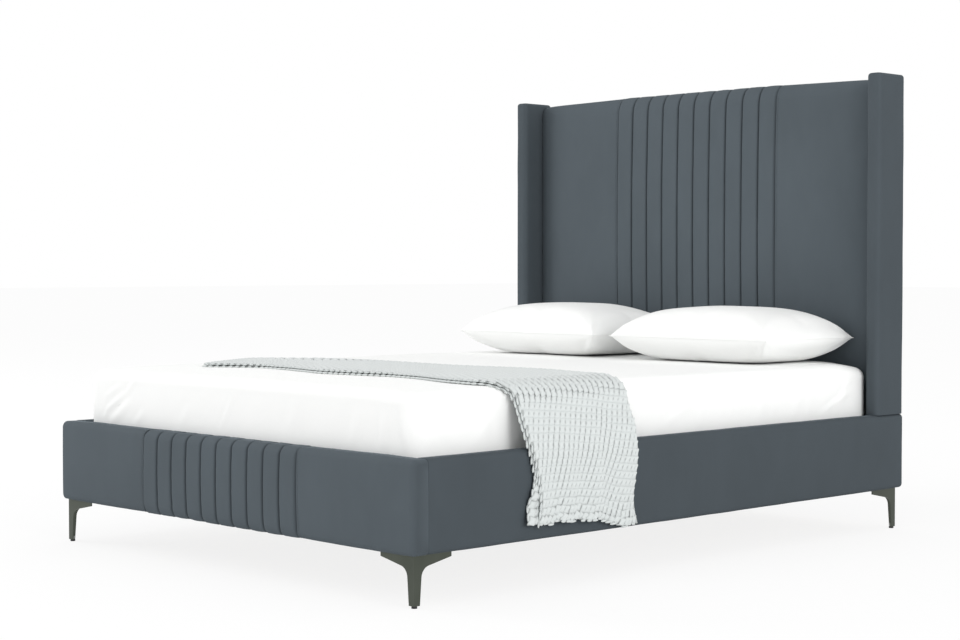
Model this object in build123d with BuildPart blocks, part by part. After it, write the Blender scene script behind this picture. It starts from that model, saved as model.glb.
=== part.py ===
# Upholstered wing bed with a channelled headboard and footboard, dressed with its mattress,
# sheet, two pillows and a knitted throw.
# Millimetres. X runs across the bed, Y from the foot (-Y) to the head (+Y), Z is up.
# The origin is on the floor, under the middle of the frame.
import os
from build123d import *

os.makedirs("parts", exist_ok=True)

# The bed's overall sizes
bed_width = 1650
bed_length = 2142
bed_height = 1478
underside_height = 133
rail_height = 242

# Upholstery: velvet over foam over a board
cloth = 2
rail_foam = 10
side_thickness = 52
footboard_thickness = 51
edge_round = 12
footboard_corner_round = 17

# Sewn channels
channel_count = 10
channel_pitch = 72
channel_depth = 7
channel_proud = 4
channel_backing = 1.5

# Wings
wing_depth = 144
wing_front_round = 18
wing_foam = 8
wing_top_round_share = 0.9

# Headboard
headboard_depth = 75
headboard_draw_in = 20
draw_in_width = 120
headboard_front_round = 30
headboard_back_round = 16
headboard_side_drop = 8
board_thickness = 9
frame_bar_width = 40
draw_in_pad = 4
frame_top_clearance = 4
top_rail_height = 50
middle_rail_height = 60
bottom_rail_height = 120
back_flap = 75
lining = 1

# Slat support
slat_count = 13
slat_width = 65
slat_thickness = 18
slat_drop = 85
slat_end_gap = 2
slat_edge_round = 3
end_slat_margin = 45
ledger_depth = 30
ledger_height = 35
webbing_width = 25
webbing_thickness = 1.5
webbing_inset = 70
beam_width = 40
beam_height = 60

# Steel plate: corner brackets and the hangers at the centre beam's ends
plate = 3
hanger_depth = 50
hanger_ear = 20
fit_gap = 0.5
bracket_arm = 60
bracket_lift = 12
bolt_level_shares = (0.25, 0.75)
bolt_reach_share = 0.6
bracket_drop = 7

# Centre support legs and their levelling feet
support_leg_count = 3
support_leg_spacing = 450
support_tube_radius = 19
support_tube_wall = 1.5
support_plate_length = 80
plug_height = 18
plug_flange = 4
foot_pad_radius = 20
foot_pad_height = 10
foot_pad_bevel = 3
foot_stud_radius = 5
foot_stud_length = 46
thread_gap = 0.08
seat_gap = 0.3

# Corner legs: cast angles with an arm under each rail
leg_inset = 17
leg_wall = 4
leg_arm_length = 128
leg_arm_end = 13
leg_knee_reach = 53
leg_knee_drop = 28
leg_blade_top = 27
leg_blade_bottom = 20
leg_knee_round = 30
leg_plate_width = 34
leg_toe_height = 10
leg_screw_shares = (0.52, 0.84)
glide_radius = 7.5
glide_height = 6
glide_inset = 8.5
glide_stem_radius = 3
glide_stem_length = 6

# Bolts and screws
bolt_radius = 4
bolt_head_radius = 6.5
bolt_head_height = 5
bolt_grip = 12
screw_radius = 2.5
screw_head_radius = 4.5
screw_head_height = 3
screw_grip = 14
shank_gap = 0.2
ledger_screw_count = 5
wing_bolt_count = 3
wing_bolt_margin = 140

# Bedding
mattress_side_gap = 16
mattress_head_gap = 12
mattress_thickness = 250
mattress_corner_round = 55
mattress_edge_round = 14
sheet_cloth = 1.2
sheet_tuck = 70
pillow_side_gap = 60
pillow_depth = 462
pillow_between = 74
pillow_head_gap = 21
pillow_seam_height = 79
pillow_crown = 103
pillow_sag = 13

# Throw
throw_thickness = 10
throw_left_gap = 67
throw_skew = 190
throw_foot_gap = 326
throw_width = 520
throw_drop_inset = 70
throw_far_inset = 24
throw_rail_gap = 3
throw_hem_height = 152
throw_corner_share = 0.7
throw_fold_count = 5
throw_fold_depth = 8
throw_rest_fold = 1

# Planes and lines that several pieces share
half_width = bed_width / 2
half_length = bed_length / 2
front_face = -half_length
back_face = half_length
rail_top = underside_height + rail_height
inner_face = half_width - side_thickness
rail_start = front_face + footboard_thickness
panel_half = channel_count * channel_pitch / 2
core_inset = cloth + rail_foam
panel_inset = channel_depth + channel_backing
headboard_front = back_face - headboard_depth
field_front = headboard_front + channel_proud
field_top = bed_height - channel_proud
frame_back = back_face - cloth
board_front = field_front + headboard_draw_in + cloth + draw_in_pad
frame_front = board_front + board_thickness
board_half = inner_face - cloth
stile_inner = board_half - frame_bar_width
frame_top = field_top - headboard_side_drop - headboard_front_round - frame_top_clearance
slat_top = rail_top - slat_drop
slat_bottom = slat_top - slat_thickness
beam_bottom = slat_bottom - beam_height
mattress_bottom = slat_top + seat_gap + sheet_cloth
mattress_top = mattress_bottom + mattress_thickness
bed_top = mattress_top + sheet_cloth
mattress_half = inner_face - mattress_side_gap
throw_bend = mattress_edge_round + sheet_cloth


def block(low, high):
    """A square-edged block between two opposite corners."""
    size = [high[i] - low[i] for i in range(3)]
    with BuildPart() as piece:
        with BuildSketch(Plane(origin=low)):
            Rectangle(size[0], size[1], align=(Align.MIN, Align.MIN))
        extrude(amount=size[2])
    return piece.part


def peg(start, direction, length, radius):
    """A round peg that leaves a point in one direction."""
    with BuildPart() as piece:
        with BuildSketch(Plane(origin=start, z_dir=direction)):
            Circle(radius)
        extrude(amount=length)
    return piece.part


def cut(piece, *tools):
    """A piece with other shapes taken out of it."""
    with BuildPart() as result:
        add(piece)
        for tool in tools:
            add(tool, mode=Mode.SUBTRACT)
    return result.part


def fused(*shapes):
    """Shapes joined into one; those that don't touch stay separate solids."""
    with BuildPart() as result:
        for shape in shapes:
            add(shape)
    return result.part


def shared(piece, other):
    """What two shapes have in common."""
    with BuildPart() as result:
        add(piece)
        add(other, mode=Mode.INTERSECT)
    return result.part


def mirrored(piece, plane=Plane.YZ):
    """A piece's mirror image, by default on the bed's other side."""
    with BuildPart() as result:
        mirror(piece, about=plane)
    return result.part


def keep(node, piece):
    """Writes one finished piece under its node's name."""
    piece.label = node
    export_step(piece, "parts/" + node + ".step")


def keep_sides(node, part_name, piece):
    """Writes the right-hand piece and its mirror image on the left."""
    ending = "_" + part_name if part_name else ""
    keep(node + "_right" + ending, piece)
    keep(node + "_left" + ending, mirrored(piece))


# Fasteners on the bed's right side. Each is a start point, a direction and a length, and the same
# list gives the fastener, its mirror image and the holes that its shank needs.
def flipped(direction):
    return tuple(-d for d in direction)


def bolt(start, direction, length):
    """A bolt whose head sits on the point where its shank starts."""
    with BuildPart() as piece:
        add(peg(start, direction, length, bolt_radius))
        add(peg(start, flipped(direction), bolt_head_height, bolt_head_radius))
    return piece.part


def screw(start, direction, length):
    """A screw whose head sits on the point where its shank starts."""
    with BuildPart() as piece:
        add(peg(start, direction, length, screw_radius))
        add(peg(start, flipped(direction), screw_head_height, screw_head_radius))
    return piece.part


def hole(place, radius):
    """The hole for one fastener's shank."""
    start, direction, length = place
    return peg(start, direction, length + shank_gap, radius + shank_gap)


bracket_top = slat_bottom - ledger_height - bracket_drop
bracket_bottom = underside_height + bracket_lift
bolt_levels = [bracket_bottom + (bracket_top - bracket_bottom) * share for share in bolt_level_shares]
bolt_reach = bracket_arm * bolt_reach_share
bracket_bolt_length = plate + core_inset + bolt_grip
bracket_bolt_places = []
for level in bolt_levels:
    for wall, away in ((rail_start, 1), (board_front, -1)):
        cross_start = (inner_face - bolt_reach, wall + away * plate, level)
        bracket_bolt_places.append((cross_start, (0, -away, 0), bracket_bolt_length))
        side_start = (inner_face - plate, wall + away * bolt_reach, level)
        bracket_bolt_places.append((side_start, (1, 0, 0), bracket_bolt_length))

wing_bolt_length = frame_bar_width + 2 * cloth + wing_foam + bolt_grip
wing_bolt_low = rail_top + wing_bolt_margin
wing_bolt_step = (frame_top - wing_bolt_margin - wing_bolt_low) / (wing_bolt_count - 1)
wing_bolt_places = []
for i in range(wing_bolt_count):
    start = (stile_inner, (frame_front + frame_back) / 2, wing_bolt_low + i * wing_bolt_step)
    wing_bolt_places.append((start, (1, 0, 0), wing_bolt_length))

leg_x = half_width - leg_inset
leg_y = half_length - leg_inset
leg_screw_length = plate + core_inset + screw_grip
in_plate = (leg_wall + leg_plate_width) / 2
screw_places = []
for end in (-1, 1):
    for share in leg_screw_shares:
        out = leg_arm_length * share
        for x, y in ((leg_x - in_plate, leg_y - out), (leg_x - out, leg_y - in_plate)):
            screw_places.append(((x, end * y, underside_height - plate), (0, 0, 1), leg_screw_length))

ledger_screw_length = ledger_depth + core_inset + screw_grip
ledger_screw_start = rail_start + bracket_arm
ledger_screw_step = (board_front - bracket_arm - ledger_screw_start) / (ledger_screw_count - 1)
for i in range(ledger_screw_count):
    y = ledger_screw_start + i * ledger_screw_step
    start = (inner_face - ledger_depth, y, slat_bottom - ledger_height / 2)
    screw_places.append((start, (1, 0, 0), ledger_screw_length))

bracket_holes = [hole(place, bolt_radius) for place in bracket_bolt_places]
wing_holes = [hole(place, bolt_radius) for place in wing_bolt_places]
screw_holes = [hole(place, screw_radius) for place in screw_places]
right_holes = fused(*bracket_holes, *wing_holes, *screw_holes)
left_holes = mirrored(right_holes)

for node, make, places in (
    ("bracket_bolts", bolt, bracket_bolt_places),
    ("wing_bolts", bolt, wing_bolt_places),
    ("frame_screws", screw, screw_places),
):
    right = fused(*[make(*place) for place in places])
    keep(node, fused(right, mirrored(right)))


# Corner brackets: a steel angle at each corner, inside the frame, below the slat ledgers
def angle_bracket(wall, away):
    """An angle in the right-hand corner behind a cross wall, on the side that away points to."""
    near, far = sorted([wall, wall + away * plate])
    first, last = sorted([wall, wall + away * bracket_arm])
    with BuildPart() as angle:
        add(block((inner_face - bracket_arm, near, bracket_bottom), (inner_face, far, bracket_top)))
        add(block((inner_face - plate, first, bracket_bottom), (inner_face, last, bracket_top)))
        add(right_holes, mode=Mode.SUBTRACT)
    return angle.part


right_brackets = fused(angle_bracket(rail_start, 1), angle_bracket(board_front, -1))
keep("corner_brackets", fused(right_brackets, mirrored(right_brackets)))


# Side rails: board, foam and velvet, open where they butt on the footboard
def rail_form(inset):
    """The right rail's outline, drawn in by inset on its wrapped faces."""
    low = (inner_face + inset, rail_start, underside_height + inset)
    high = (half_width - inset, back_face - inset, rail_top - inset)
    with BuildPart() as form:
        add(block(low, high))
        if edge_round > inset:
            fillet(form.edges().filter_by(Axis.Y), edge_round - inset)
            fillet(form.faces().sort_by(Axis.Y)[-1].edges(), (edge_round - inset) / 2)
    return form.part


rail_outer, rail_padded, rail_board = [rail_form(inset) for inset in (0, cloth, core_inset)]
keep_sides("side_rail", "cover", cut(rail_outer, rail_padded, right_holes))
keep_sides("side_rail", "foam", cut(rail_padded, rail_board, right_holes))
keep_sides("side_rail", "core", cut(rail_board, right_holes))


# Wings: they stand on the side rails' tops and are open there
def wing_form(inset):
    """The right wing's outline, drawn in by inset on its wrapped faces."""
    low = (inner_face + inset, back_face - wing_depth + inset, rail_top)
    high = (half_width - inset, back_face - inset, bed_height - inset)
    with BuildPart() as form:
        add(block(low, high))
        uprights = form.edges().filter_by(Axis.Z).group_by(Axis.Y)
        if wing_front_round > inset:
            fillet(uprights[0], wing_front_round - inset)
        if edge_round > inset:
            fillet(form.edges().filter_by(Axis.Z).group_by(Axis.Y)[-1], edge_round - inset)
            fillet(form.faces().sort_by(Axis.Z)[-1].edges(), (edge_round - inset) * wing_top_round_share)
    return form.part


wing_insets = (0, cloth, cloth + wing_foam)
wing_outer, wing_padded, wing_board = [wing_form(inset) for inset in wing_insets]
keep_sides("wing", "cover", cut(wing_outer, wing_padded, right_holes))
keep_sides("wing", "foam", cut(wing_padded, wing_board, right_holes))
keep_sides("wing", "core", cut(wing_board, right_holes))


# Sewn channels: flat crowns whose edges roll down into the seams between them
def section_bar(x_low, x_high, low, high, front_round, back_round, bottom_round):
    """A bar along X whose YZ section is a rectangle, rounded at its front top, back top and bottom corners."""
    with BuildPart() as bar:
        with BuildSketch(Plane.YZ.offset(x_low)) as section:
            with Locations(((low[0] + high[0]) / 2, (low[1] + high[1]) / 2)):
                Rectangle(high[0] - low[0], high[1] - low[1])
            if front_round > 0:
                fillet(section.vertices().group_by(Axis.Y)[-1].sort_by(Axis.X)[0], front_round)
            if back_round > 0:
                fillet(section.vertices().group_by(Axis.Y)[-1].sort_by(Axis.X)[-1], back_round)
            if bottom_round > 0:
                fillet(section.vertices().group_by(Axis.Y)[0], bottom_round)
        extrude(amount=x_high - x_low)
    return bar.part


def channel_row(low, high, front_round, back_round):
    """The whole row of channels round a solid bar, its bottom corners rounded as its back is."""
    with BuildPart() as channel:
        add(section_bar(-panel_half, -panel_half + channel_pitch, low, high, front_round, back_round, back_round))
        ends = channel.faces().filter_by(Axis.X).sort_by(Axis.X)
        fillet(ends[0].edges() + ends[-1].edges(), channel_depth)
    with BuildPart() as row:
        with Locations(*[(i * channel_pitch, 0, 0) for i in range(channel_count)]):
            add(channel.part)
    return row.part


# Footboard: its velvet is two plain fields with the channelled panel between them
def footboard_form(inset):
    """The footboard's outline, drawn in by inset on every face."""
    low = (-half_width + inset, front_face + inset, underside_height + inset)
    high = (half_width - inset, rail_start - inset, rail_top - inset)
    with BuildPart() as form:
        add(block(low, high))
        if footboard_corner_round > inset:
            fillet(form.edges().filter_by(Axis.Z).group_by(Axis.Y)[0], footboard_corner_round - inset)
        if edge_round > inset:
            top_rim = form.faces().sort_by(Axis.Z)[-1].edges().sort_by(Axis.Y)[:-1]
            bottom_rim = form.faces().sort_by(Axis.Z)[0].edges().sort_by(Axis.Y)[:-1]
            fillet(top_rim + bottom_rim, edge_round - inset)
    return form.part


panel_overrun = panel_inset - cloth
foot_panel_low = (front_face - channel_proud, underside_height - channel_proud)
foot_panel_high = (rail_start + panel_overrun, rail_top + channel_proud)
foot_panel_round = edge_round + channel_proud
foot_lining_low = (foot_panel_low[0] + panel_inset, foot_panel_low[1] + panel_inset)
foot_lining_high = (rail_start - cloth, foot_panel_high[1] - panel_inset)
foot_panel_pad = section_bar(
    -panel_half, panel_half, foot_lining_low, foot_lining_high,
    foot_panel_round - panel_inset, foot_panel_round - panel_inset, foot_panel_round - panel_inset,
)
behind_footboard = block(
    (-half_width, rail_start, 0), (half_width, rail_start + footboard_thickness, bed_height)
)
foot_panel = cut(
    channel_row(foot_panel_low, foot_panel_high, foot_panel_round, foot_panel_round),
    foot_panel_pad,
    behind_footboard,
)
keep("footboard_channel_panel", foot_panel)

panel_space = block((-panel_half, -bed_length, 0), (panel_half, bed_length, 2 * bed_height))
right_space = block((panel_half, -bed_length, 0), (bed_width, bed_length, 2 * bed_height))
foot_outer, foot_padded, foot_board = [footboard_form(inset) for inset in (0, cloth, core_inset)]
foot_field = shared(cut(foot_outer, foot_padded), right_space)
keep_sides("footboard_cover", "", cut(foot_field, right_holes))
foot_foam = fused(cut(foot_padded, panel_space), foot_panel_pad)
keep("footboard_foam", cut(foot_foam, foot_board, right_holes, left_holes))
keep("footboard_core", cut(foot_board, right_holes, left_holes))


# Headboard: upholstered down to the slats, on a board with a timber frame behind it
def headboard_field(inset):
    """The right plain field's outline, whose front is drawn in towards the wing."""
    low_z = slat_top
    side = inner_face - inset
    front = field_front + inset
    back = back_face - inset
    with BuildPart() as form:
        with BuildSketch(Plane.XY.offset(low_z)):
            with BuildLine():
                front_line = Line((panel_half, front), (inner_face - draw_in_width, front))
                TangentArc(front_line @ 1, (side, front + headboard_draw_in), tangent=front_line % 1)
                Line((side, front + headboard_draw_in), (side, back))
                Line((side, back), (panel_half, back))
                Line((panel_half, back), (panel_half, front))
            make_face()
        extrude(amount=field_top - inset - low_z)
        with BuildSketch(Plane.XZ.offset(-bed_length)):
            top = field_top - inset
            with BuildLine():
                Polyline(
                    (panel_half, top),
                    (inner_face, top - headboard_side_drop),
                    (inner_face, top + headboard_side_drop),
                    (panel_half, top + headboard_side_drop),
                    close=True,
                )
            make_face()
        extrude(amount=2 * bed_length, mode=Mode.SUBTRACT)
        rim = form.faces().sort_by(Axis.Z)[-1].edges()
        long_rim = rim.filter_by(lambda e: abs(e.tangent_at(0.5).X) > 0.5)
        fillet(long_rim.sort_by(Axis.Y)[:-1], headboard_front_round - inset)
        fillet(form.faces().sort_by(Axis.Z)[-1].edges().sort_by(Axis.Y)[-1], headboard_back_round - inset)
    return form.part


head_panel_low = (headboard_front, slat_top - channel_pitch)
head_panel_high = (back_face + panel_overrun, bed_height)
head_panel_front_round = headboard_front_round + channel_proud
head_panel_back_round = headboard_back_round + channel_proud
head_panel_pad = section_bar(
    -panel_half, panel_half,
    (headboard_front + panel_inset, slat_top), (frame_back, bed_height - panel_inset),
    head_panel_front_round - panel_inset, head_panel_back_round - panel_inset, 0,
)
flap_edge = bed_height - back_flap
behind_frame = block((-half_width, frame_back, 0), (half_width, back_face + bed_length, flap_edge))
behind_headboard = block((-half_width, back_face, 0), (half_width, back_face + bed_length, 2 * bed_height))
below_headboard = block((-half_width, 0, 0), (half_width, bed_length, slat_top))
head_panel = cut(
    channel_row(head_panel_low, head_panel_high, head_panel_front_round, head_panel_back_round),
    head_panel_pad,
    behind_frame,
    behind_headboard,
    below_headboard,
)
keep("headboard_channel_panel", head_panel)

field_outer, field_padded = headboard_field(0), headboard_field(cloth)
keep_sides("headboard_cover", "", cut(field_outer, field_padded, behind_frame, right_holes))

frame_space = block((-board_half, board_front, 0), (board_half, frame_back, frame_top))
head_foam = cut(
    fused(field_padded, mirrored(field_padded), head_panel_pad),
    frame_space,
)
keep("headboard_foam", head_foam)

panel_board = block(
    (-board_half, board_front, underside_height), (board_half, frame_front, frame_top)
)
keep("headboard_panel_board", cut(panel_board, right_holes, left_holes))


def frame_bar(half_length_x, low_z, high_z):
    """A cross rail of the headboard's frame, between its stiles."""
    return block((-half_length_x, frame_front, low_z), (half_length_x, frame_back, high_z))


bottom_rail_top = underside_height + bottom_rail_height
middle_rail_low = wing_bolt_low + (wing_bolt_step - middle_rail_height) / 2
bottom_rail = frame_bar(stile_inner, underside_height, bottom_rail_top)
keep("headboard_bottom_rail", cut(bottom_rail, right_holes, left_holes))
keep("headboard_middle_rail", frame_bar(stile_inner, middle_rail_low, middle_rail_low + middle_rail_height))
keep("headboard_top_rail", frame_bar(stile_inner, frame_top - top_rail_height, frame_top))
stile = block((stile_inner, frame_front, underside_height), (board_half, frame_back, frame_top))
keep_sides("headboard_stile", "", cut(stile, right_holes))
back_lining = block(
    (-board_half, frame_back, underside_height), (board_half, frame_back + lining, flap_edge)
)
keep("headboard_back_cloth", back_lining)

# Slat support: ledgers, centre beam in two hangers, slats and the webbing that spaces them
ledger_low = (inner_face - ledger_depth, rail_start, slat_bottom - ledger_height)
ledger = block(ledger_low, (inner_face, board_front, slat_bottom))
keep_sides("slat_ledger", "", cut(ledger, right_holes))

beam_start = rail_start + plate + fit_gap
beam_end = board_front - plate - fit_gap
beam = block((-beam_width / 2, beam_start, beam_bottom), (beam_width / 2, beam_end, slat_bottom))
keep("centre_beam", beam)


def beam_hanger(wall, away):
    """A folded steel saddle on a cross wall, whose open side is the way away points."""
    cheek = beam_width / 2 + fit_gap
    ear = cheek + plate + hanger_ear
    near, far = sorted([wall, wall + away * plate])
    first, last = sorted([wall, wall + away * hanger_depth])
    hanger_top = slat_bottom - plate
    with BuildPart() as hanger:
        add(block((-ear, near, beam_bottom - plate), (ear, far, hanger_top)))
        add(block((-cheek - plate, first, beam_bottom - plate), (cheek + plate, last, hanger_top)))
        add(
            block((-cheek, min(wall + away * plate, wall + away * bed_length), beam_bottom),
                  (cheek, max(wall + away * plate, wall + away * bed_length), bed_height)),
            mode=Mode.SUBTRACT,
        )
    return hanger.part


keep("beam_hanger_foot", beam_hanger(rail_start, 1))
keep("beam_hanger_head", beam_hanger(board_front, -1))

slat_first = rail_start + end_slat_margin + slat_width / 2
slat_last = headboard_front - end_slat_margin - slat_width / 2
slat_step = (slat_last - slat_first) / (slat_count - 1)
slat_half = inner_face - slat_end_gap
with BuildPart() as slats:
    for i in range(slat_count):
        y = slat_first + i * slat_step
        with BuildSketch(Plane.YZ.offset(-slat_half)):
            with Locations((y, (slat_bottom + slat_top) / 2)):
                RectangleRounded(slat_width, slat_thickness, slat_edge_round)
    extrude(amount=2 * slat_half)
keep("slats", slats.part)

webbing_x = inner_face - webbing_inset
webbing = block(
    (webbing_x - webbing_width / 2, slat_first - slat_width / 2, slat_bottom - webbing_thickness),
    (webbing_x + webbing_width / 2, slat_last + slat_width / 2, slat_bottom),
)
keep("slat_webbing", fused(webbing, mirrored(webbing)))

# Centre support legs: a tube under a plate, a plug with a threaded bore, and a levelling foot
plug_bottom = foot_pad_height + seat_gap
tube_bottom = plug_bottom + plug_flange
tube_bore = support_tube_radius - support_tube_wall
support_places = [
    (i - (support_leg_count - 1) / 2) * support_leg_spacing for i in range(support_leg_count)
]


def support_leg(y):
    """The steel leg: a plate under the beam, welded to a tube."""
    with BuildPart() as leg:
        add(peg((0, y, tube_bottom), (0, 0, 1), beam_bottom - plate - tube_bottom, support_tube_radius))
        add(
            peg((0, y, tube_bottom), (0, 0, 1), beam_bottom - plate - tube_bottom, tube_bore),
            mode=Mode.SUBTRACT,
        )
        add(
            block((-beam_width / 2, y - support_plate_length / 2, beam_bottom - plate),
                  (beam_width / 2, y + support_plate_length / 2, beam_bottom))
        )
    return leg.part


def end_plug(y):
    """The moulded plug in a tube's lower end, with the foot's threaded bore."""
    with BuildPart() as plug:
        add(peg((0, y, plug_bottom), (0, 0, 1), plug_flange, support_tube_radius))
        add(peg((0, y, plug_bottom), (0, 0, 1), plug_height, tube_bore))
        add(
            peg((0, y, plug_bottom), (0, 0, 1), plug_height, foot_stud_radius + thread_gap),
            mode=Mode.SUBTRACT,
        )
    return plug.part


def levelling_foot(y):
    """A round pad with a stud that screws into the plug."""
    with BuildPart() as foot:
        add(peg((0, y, 0), (0, 0, 1), foot_pad_height, foot_pad_radius))
        chamfer(foot.faces().sort_by(Axis.Z)[-1].edges(), foot_pad_bevel)
        add(peg((0, y, foot_pad_height), (0, 0, 1), foot_stud_length, foot_stud_radius))
    return foot.part


support_names = ("front", "middle", "rear") if support_leg_count == 3 else range(support_leg_count)
for name, y in zip(support_names, support_places):
    keep(f"support_leg_{name}", support_leg(y))
    keep(f"levelling_foot_{name}", levelling_foot(y))
keep("leg_end_plugs", fused(*[end_plug(y) for y in support_places]))

# Corner legs: an angle casting whose two blades meet on a sharp ridge, with a pad glide beneath
arm_slope = (leg_knee_drop - leg_arm_end) / (leg_arm_length - leg_knee_reach)
knee_drop = leg_knee_drop + arm_slope * (leg_knee_reach - leg_blade_top)
ridge_plane = Plane(origin=(leg_x, -leg_y, 0), z_dir=(1, 1, 0))
leg_plate_low = (leg_x - leg_arm_length, -leg_y, underside_height - plate)
toe_middle = (leg_x - glide_inset, -leg_y + glide_inset, glide_height)
with BuildPart() as blade:
    with BuildSketch(Plane.XZ.offset(leg_y)) as side_view:
        with BuildLine():
            Polyline(
                (leg_x, glide_height),
                (leg_x, underside_height),
                (leg_x - leg_arm_length, underside_height),
                (leg_x - leg_arm_length, underside_height - leg_arm_end),
                (leg_x - leg_blade_top, underside_height - knee_drop),
                (leg_x - leg_blade_bottom, glide_height),
                close=True,
            )
        make_face()
        knee = side_view.vertices().sort_by_distance((leg_x - leg_blade_top, underside_height - knee_drop))[0]
        fillet(knee, leg_knee_round)
    extrude(amount=-leg_wall)
with BuildPart() as arm:
    add(blade.part)
    add(block(leg_plate_low, (leg_x, -leg_y + leg_plate_width, underside_height)))
with BuildPart() as toe:
    with BuildSketch(Plane.XY.offset(glide_height)):
        with BuildLine():
            Polyline(
                (leg_x, -leg_y),
                (leg_x, -leg_y + leg_blade_bottom),
                (leg_x - leg_wall, -leg_y + leg_blade_bottom),
                (leg_x - leg_blade_bottom, -leg_y + leg_wall),
                (leg_x - leg_blade_bottom, -leg_y),
                close=True,
            )
        make_face()
    extrude(amount=leg_toe_height)
with BuildPart() as corner_leg:
    add(arm.part)
    mirror(arm.part, about=ridge_plane)
    add(toe.part)
    add(
        peg(toe_middle, (0, 0, 1), glide_stem_length + shank_gap, glide_stem_radius + shank_gap),
        mode=Mode.SUBTRACT,
    )
    add(right_holes, mode=Mode.SUBTRACT)
with BuildPart() as glide:
    add(peg((toe_middle[0], toe_middle[1], 0), (0, 0, 1), glide_height, glide_radius))
    add(peg(toe_middle, (0, 0, 1), glide_stem_length, glide_stem_radius))
keep_sides("corner_leg_front", "", corner_leg.part)
keep_sides("corner_leg_rear", "", mirrored(corner_leg.part, Plane.XZ))
keep_sides("leg_glide_front", "", glide.part)
keep_sides("leg_glide_rear", "", mirrored(glide.part, Plane.XZ))


# Mattress and fitted sheet
def mattress_form(grow):
    """The mattress's outline, grown by grow on every side."""
    half_x = mattress_half + grow
    foot_y = rail_start + seat_gap + sheet_cloth - grow
    head_y = headboard_front - mattress_head_gap + grow
    with BuildPart() as form:
        add(block((-half_x, foot_y, mattress_bottom - grow), (half_x, head_y, mattress_top + grow)))
        fillet(form.edges().filter_by(Axis.Z), mattress_corner_round + grow)
        rims = form.faces().filter_by(Axis.Z)
        fillet(rims[0].edges() + rims[-1].edges(), mattress_edge_round + grow)
    return form.part


mattress = mattress_form(0)
keep("mattress", mattress)
tuck_half = mattress_half - sheet_tuck
tuck_head = headboard_front - mattress_head_gap - sheet_tuck
tuck_low = (-tuck_half, rail_start + sheet_tuck, 0)
tuck_high = (tuck_half, tuck_head, mattress_bottom)
keep("fitted_sheet", cut(mattress_form(sheet_cloth), mattress, block(tuck_low, tuck_high)))

# Pillows: lens sections lofted along the pillow's width, flat where they rest on the bed
# Each row: place along the half width, share of the depth, share of the crown
pillow_shares = (
    (-1, 1, 0.05),
    (-0.86, 0.965, 0.52),
    (-0.6, 0.94, 0.86),
    (0, 0.93, 1),
    (0.6, 0.94, 0.86),
    (0.86, 0.965, 0.52),
    (1, 1, 0.05),
)
pillow_width = mattress_half - pillow_side_gap - pillow_between / 2
pillow_belly = pillow_seam_height + pillow_sag
pillow_x = (pillow_between + pillow_width) / 2
pillow_y = headboard_front - pillow_head_gap - pillow_depth / 2
seam_z = bed_top + pillow_seam_height
with BuildPart() as pillow:
    for place, depth_share, crown_share in pillow_shares:
        half_depth = pillow_depth * depth_share / 2
        with BuildSketch(Plane.YZ.offset(pillow_x + place * pillow_width / 2)):
            with BuildLine():
                near = (pillow_y - half_depth, seam_z)
                far = (pillow_y + half_depth, seam_z)
                ThreePointArc(near, (pillow_y, seam_z + pillow_crown * crown_share), far)
                ThreePointArc(far, (pillow_y, seam_z - pillow_belly * crown_share), near)
            make_face()
    loft()
    add(
        block((0, -bed_length, 0), (bed_width, bed_length, bed_top + seat_gap)),
        mode=Mode.SUBTRACT,
    )
keep_sides("pillow", "", pillow.part)

# Throw: laid across the bed, over the right edge and down outside the rail
throw_base = bed_top + seat_gap
drop_x = half_width + throw_rail_gap
near_y = front_face + throw_foot_gap
far_y = near_y + throw_width
drop_near = near_y + throw_drop_inset
drop_far = far_y - throw_far_inset
hang_top = rail_top
edge_x = mattress_half + sheet_cloth + seat_gap
left_end = throw_left_gap - mattress_half
left_corner = left_end + throw_skew
with BuildPart() as laid:
    with BuildSketch(Plane.XZ.offset(-far_y)):
        with BuildLine():
            FilletPolyline(
                (left_end, throw_base),
                (edge_x, throw_base),
                (drop_x, rail_top + throw_bend),
                (drop_x, hang_top),
                radius=throw_bend,
            )
            offset(amount=throw_thickness, side=Side.LEFT)
        make_face()
    extrude(amount=throw_width)
with BuildPart() as throw_plan:
    with BuildSketch():
        with BuildLine():
            Polyline(
                (left_corner, near_y),
                (left_end, near_y + throw_width * throw_corner_share),
                (left_corner, far_y),
                (0, far_y),
                (edge_x, drop_far),
                (half_width + bed_width, drop_far),
                (half_width + bed_width, drop_near),
                (edge_x, drop_near),
                (0, near_y),
                close=True,
            )
        make_face()
    extrude(amount=bed_height)


def fold_section(level, depth):
    """The hanging cloth's cut at one level: a wavy strip that only folds away from the rail."""
    step = (drop_far - drop_near) / (2 * throw_fold_count)
    inner = drop_x + depth
    with BuildSketch(Plane.XY.offset(level)) as strip:
        with BuildLine():
            for shift in (0, throw_thickness):
                for i in range(2 * throw_fold_count):
                    y = drop_near + i * step
                    bow = depth if i % 2 else -depth
                    ThreePointArc(
                        (inner + shift, y),
                        (inner + shift + bow, y + step / 2),
                        (inner + shift, y + step),
                    )
            for y in (drop_near, drop_far):
                Line((inner, y), (inner + throw_thickness, y))
        make_face()
    return strip.sketch


with BuildPart() as hanging:
    add(fold_section(hang_top, throw_rest_fold))
    add(fold_section(throw_hem_height, throw_fold_depth))
    loft(ruled=True)
with BuildPart() as throw:
    add(shared(laid.part, throw_plan.part))
    add(hanging.part)
keep("throw", throw.part)
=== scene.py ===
"""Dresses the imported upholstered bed: velvet covers, seams, bedding, wood and metal finishes, studio."""

import math

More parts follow.
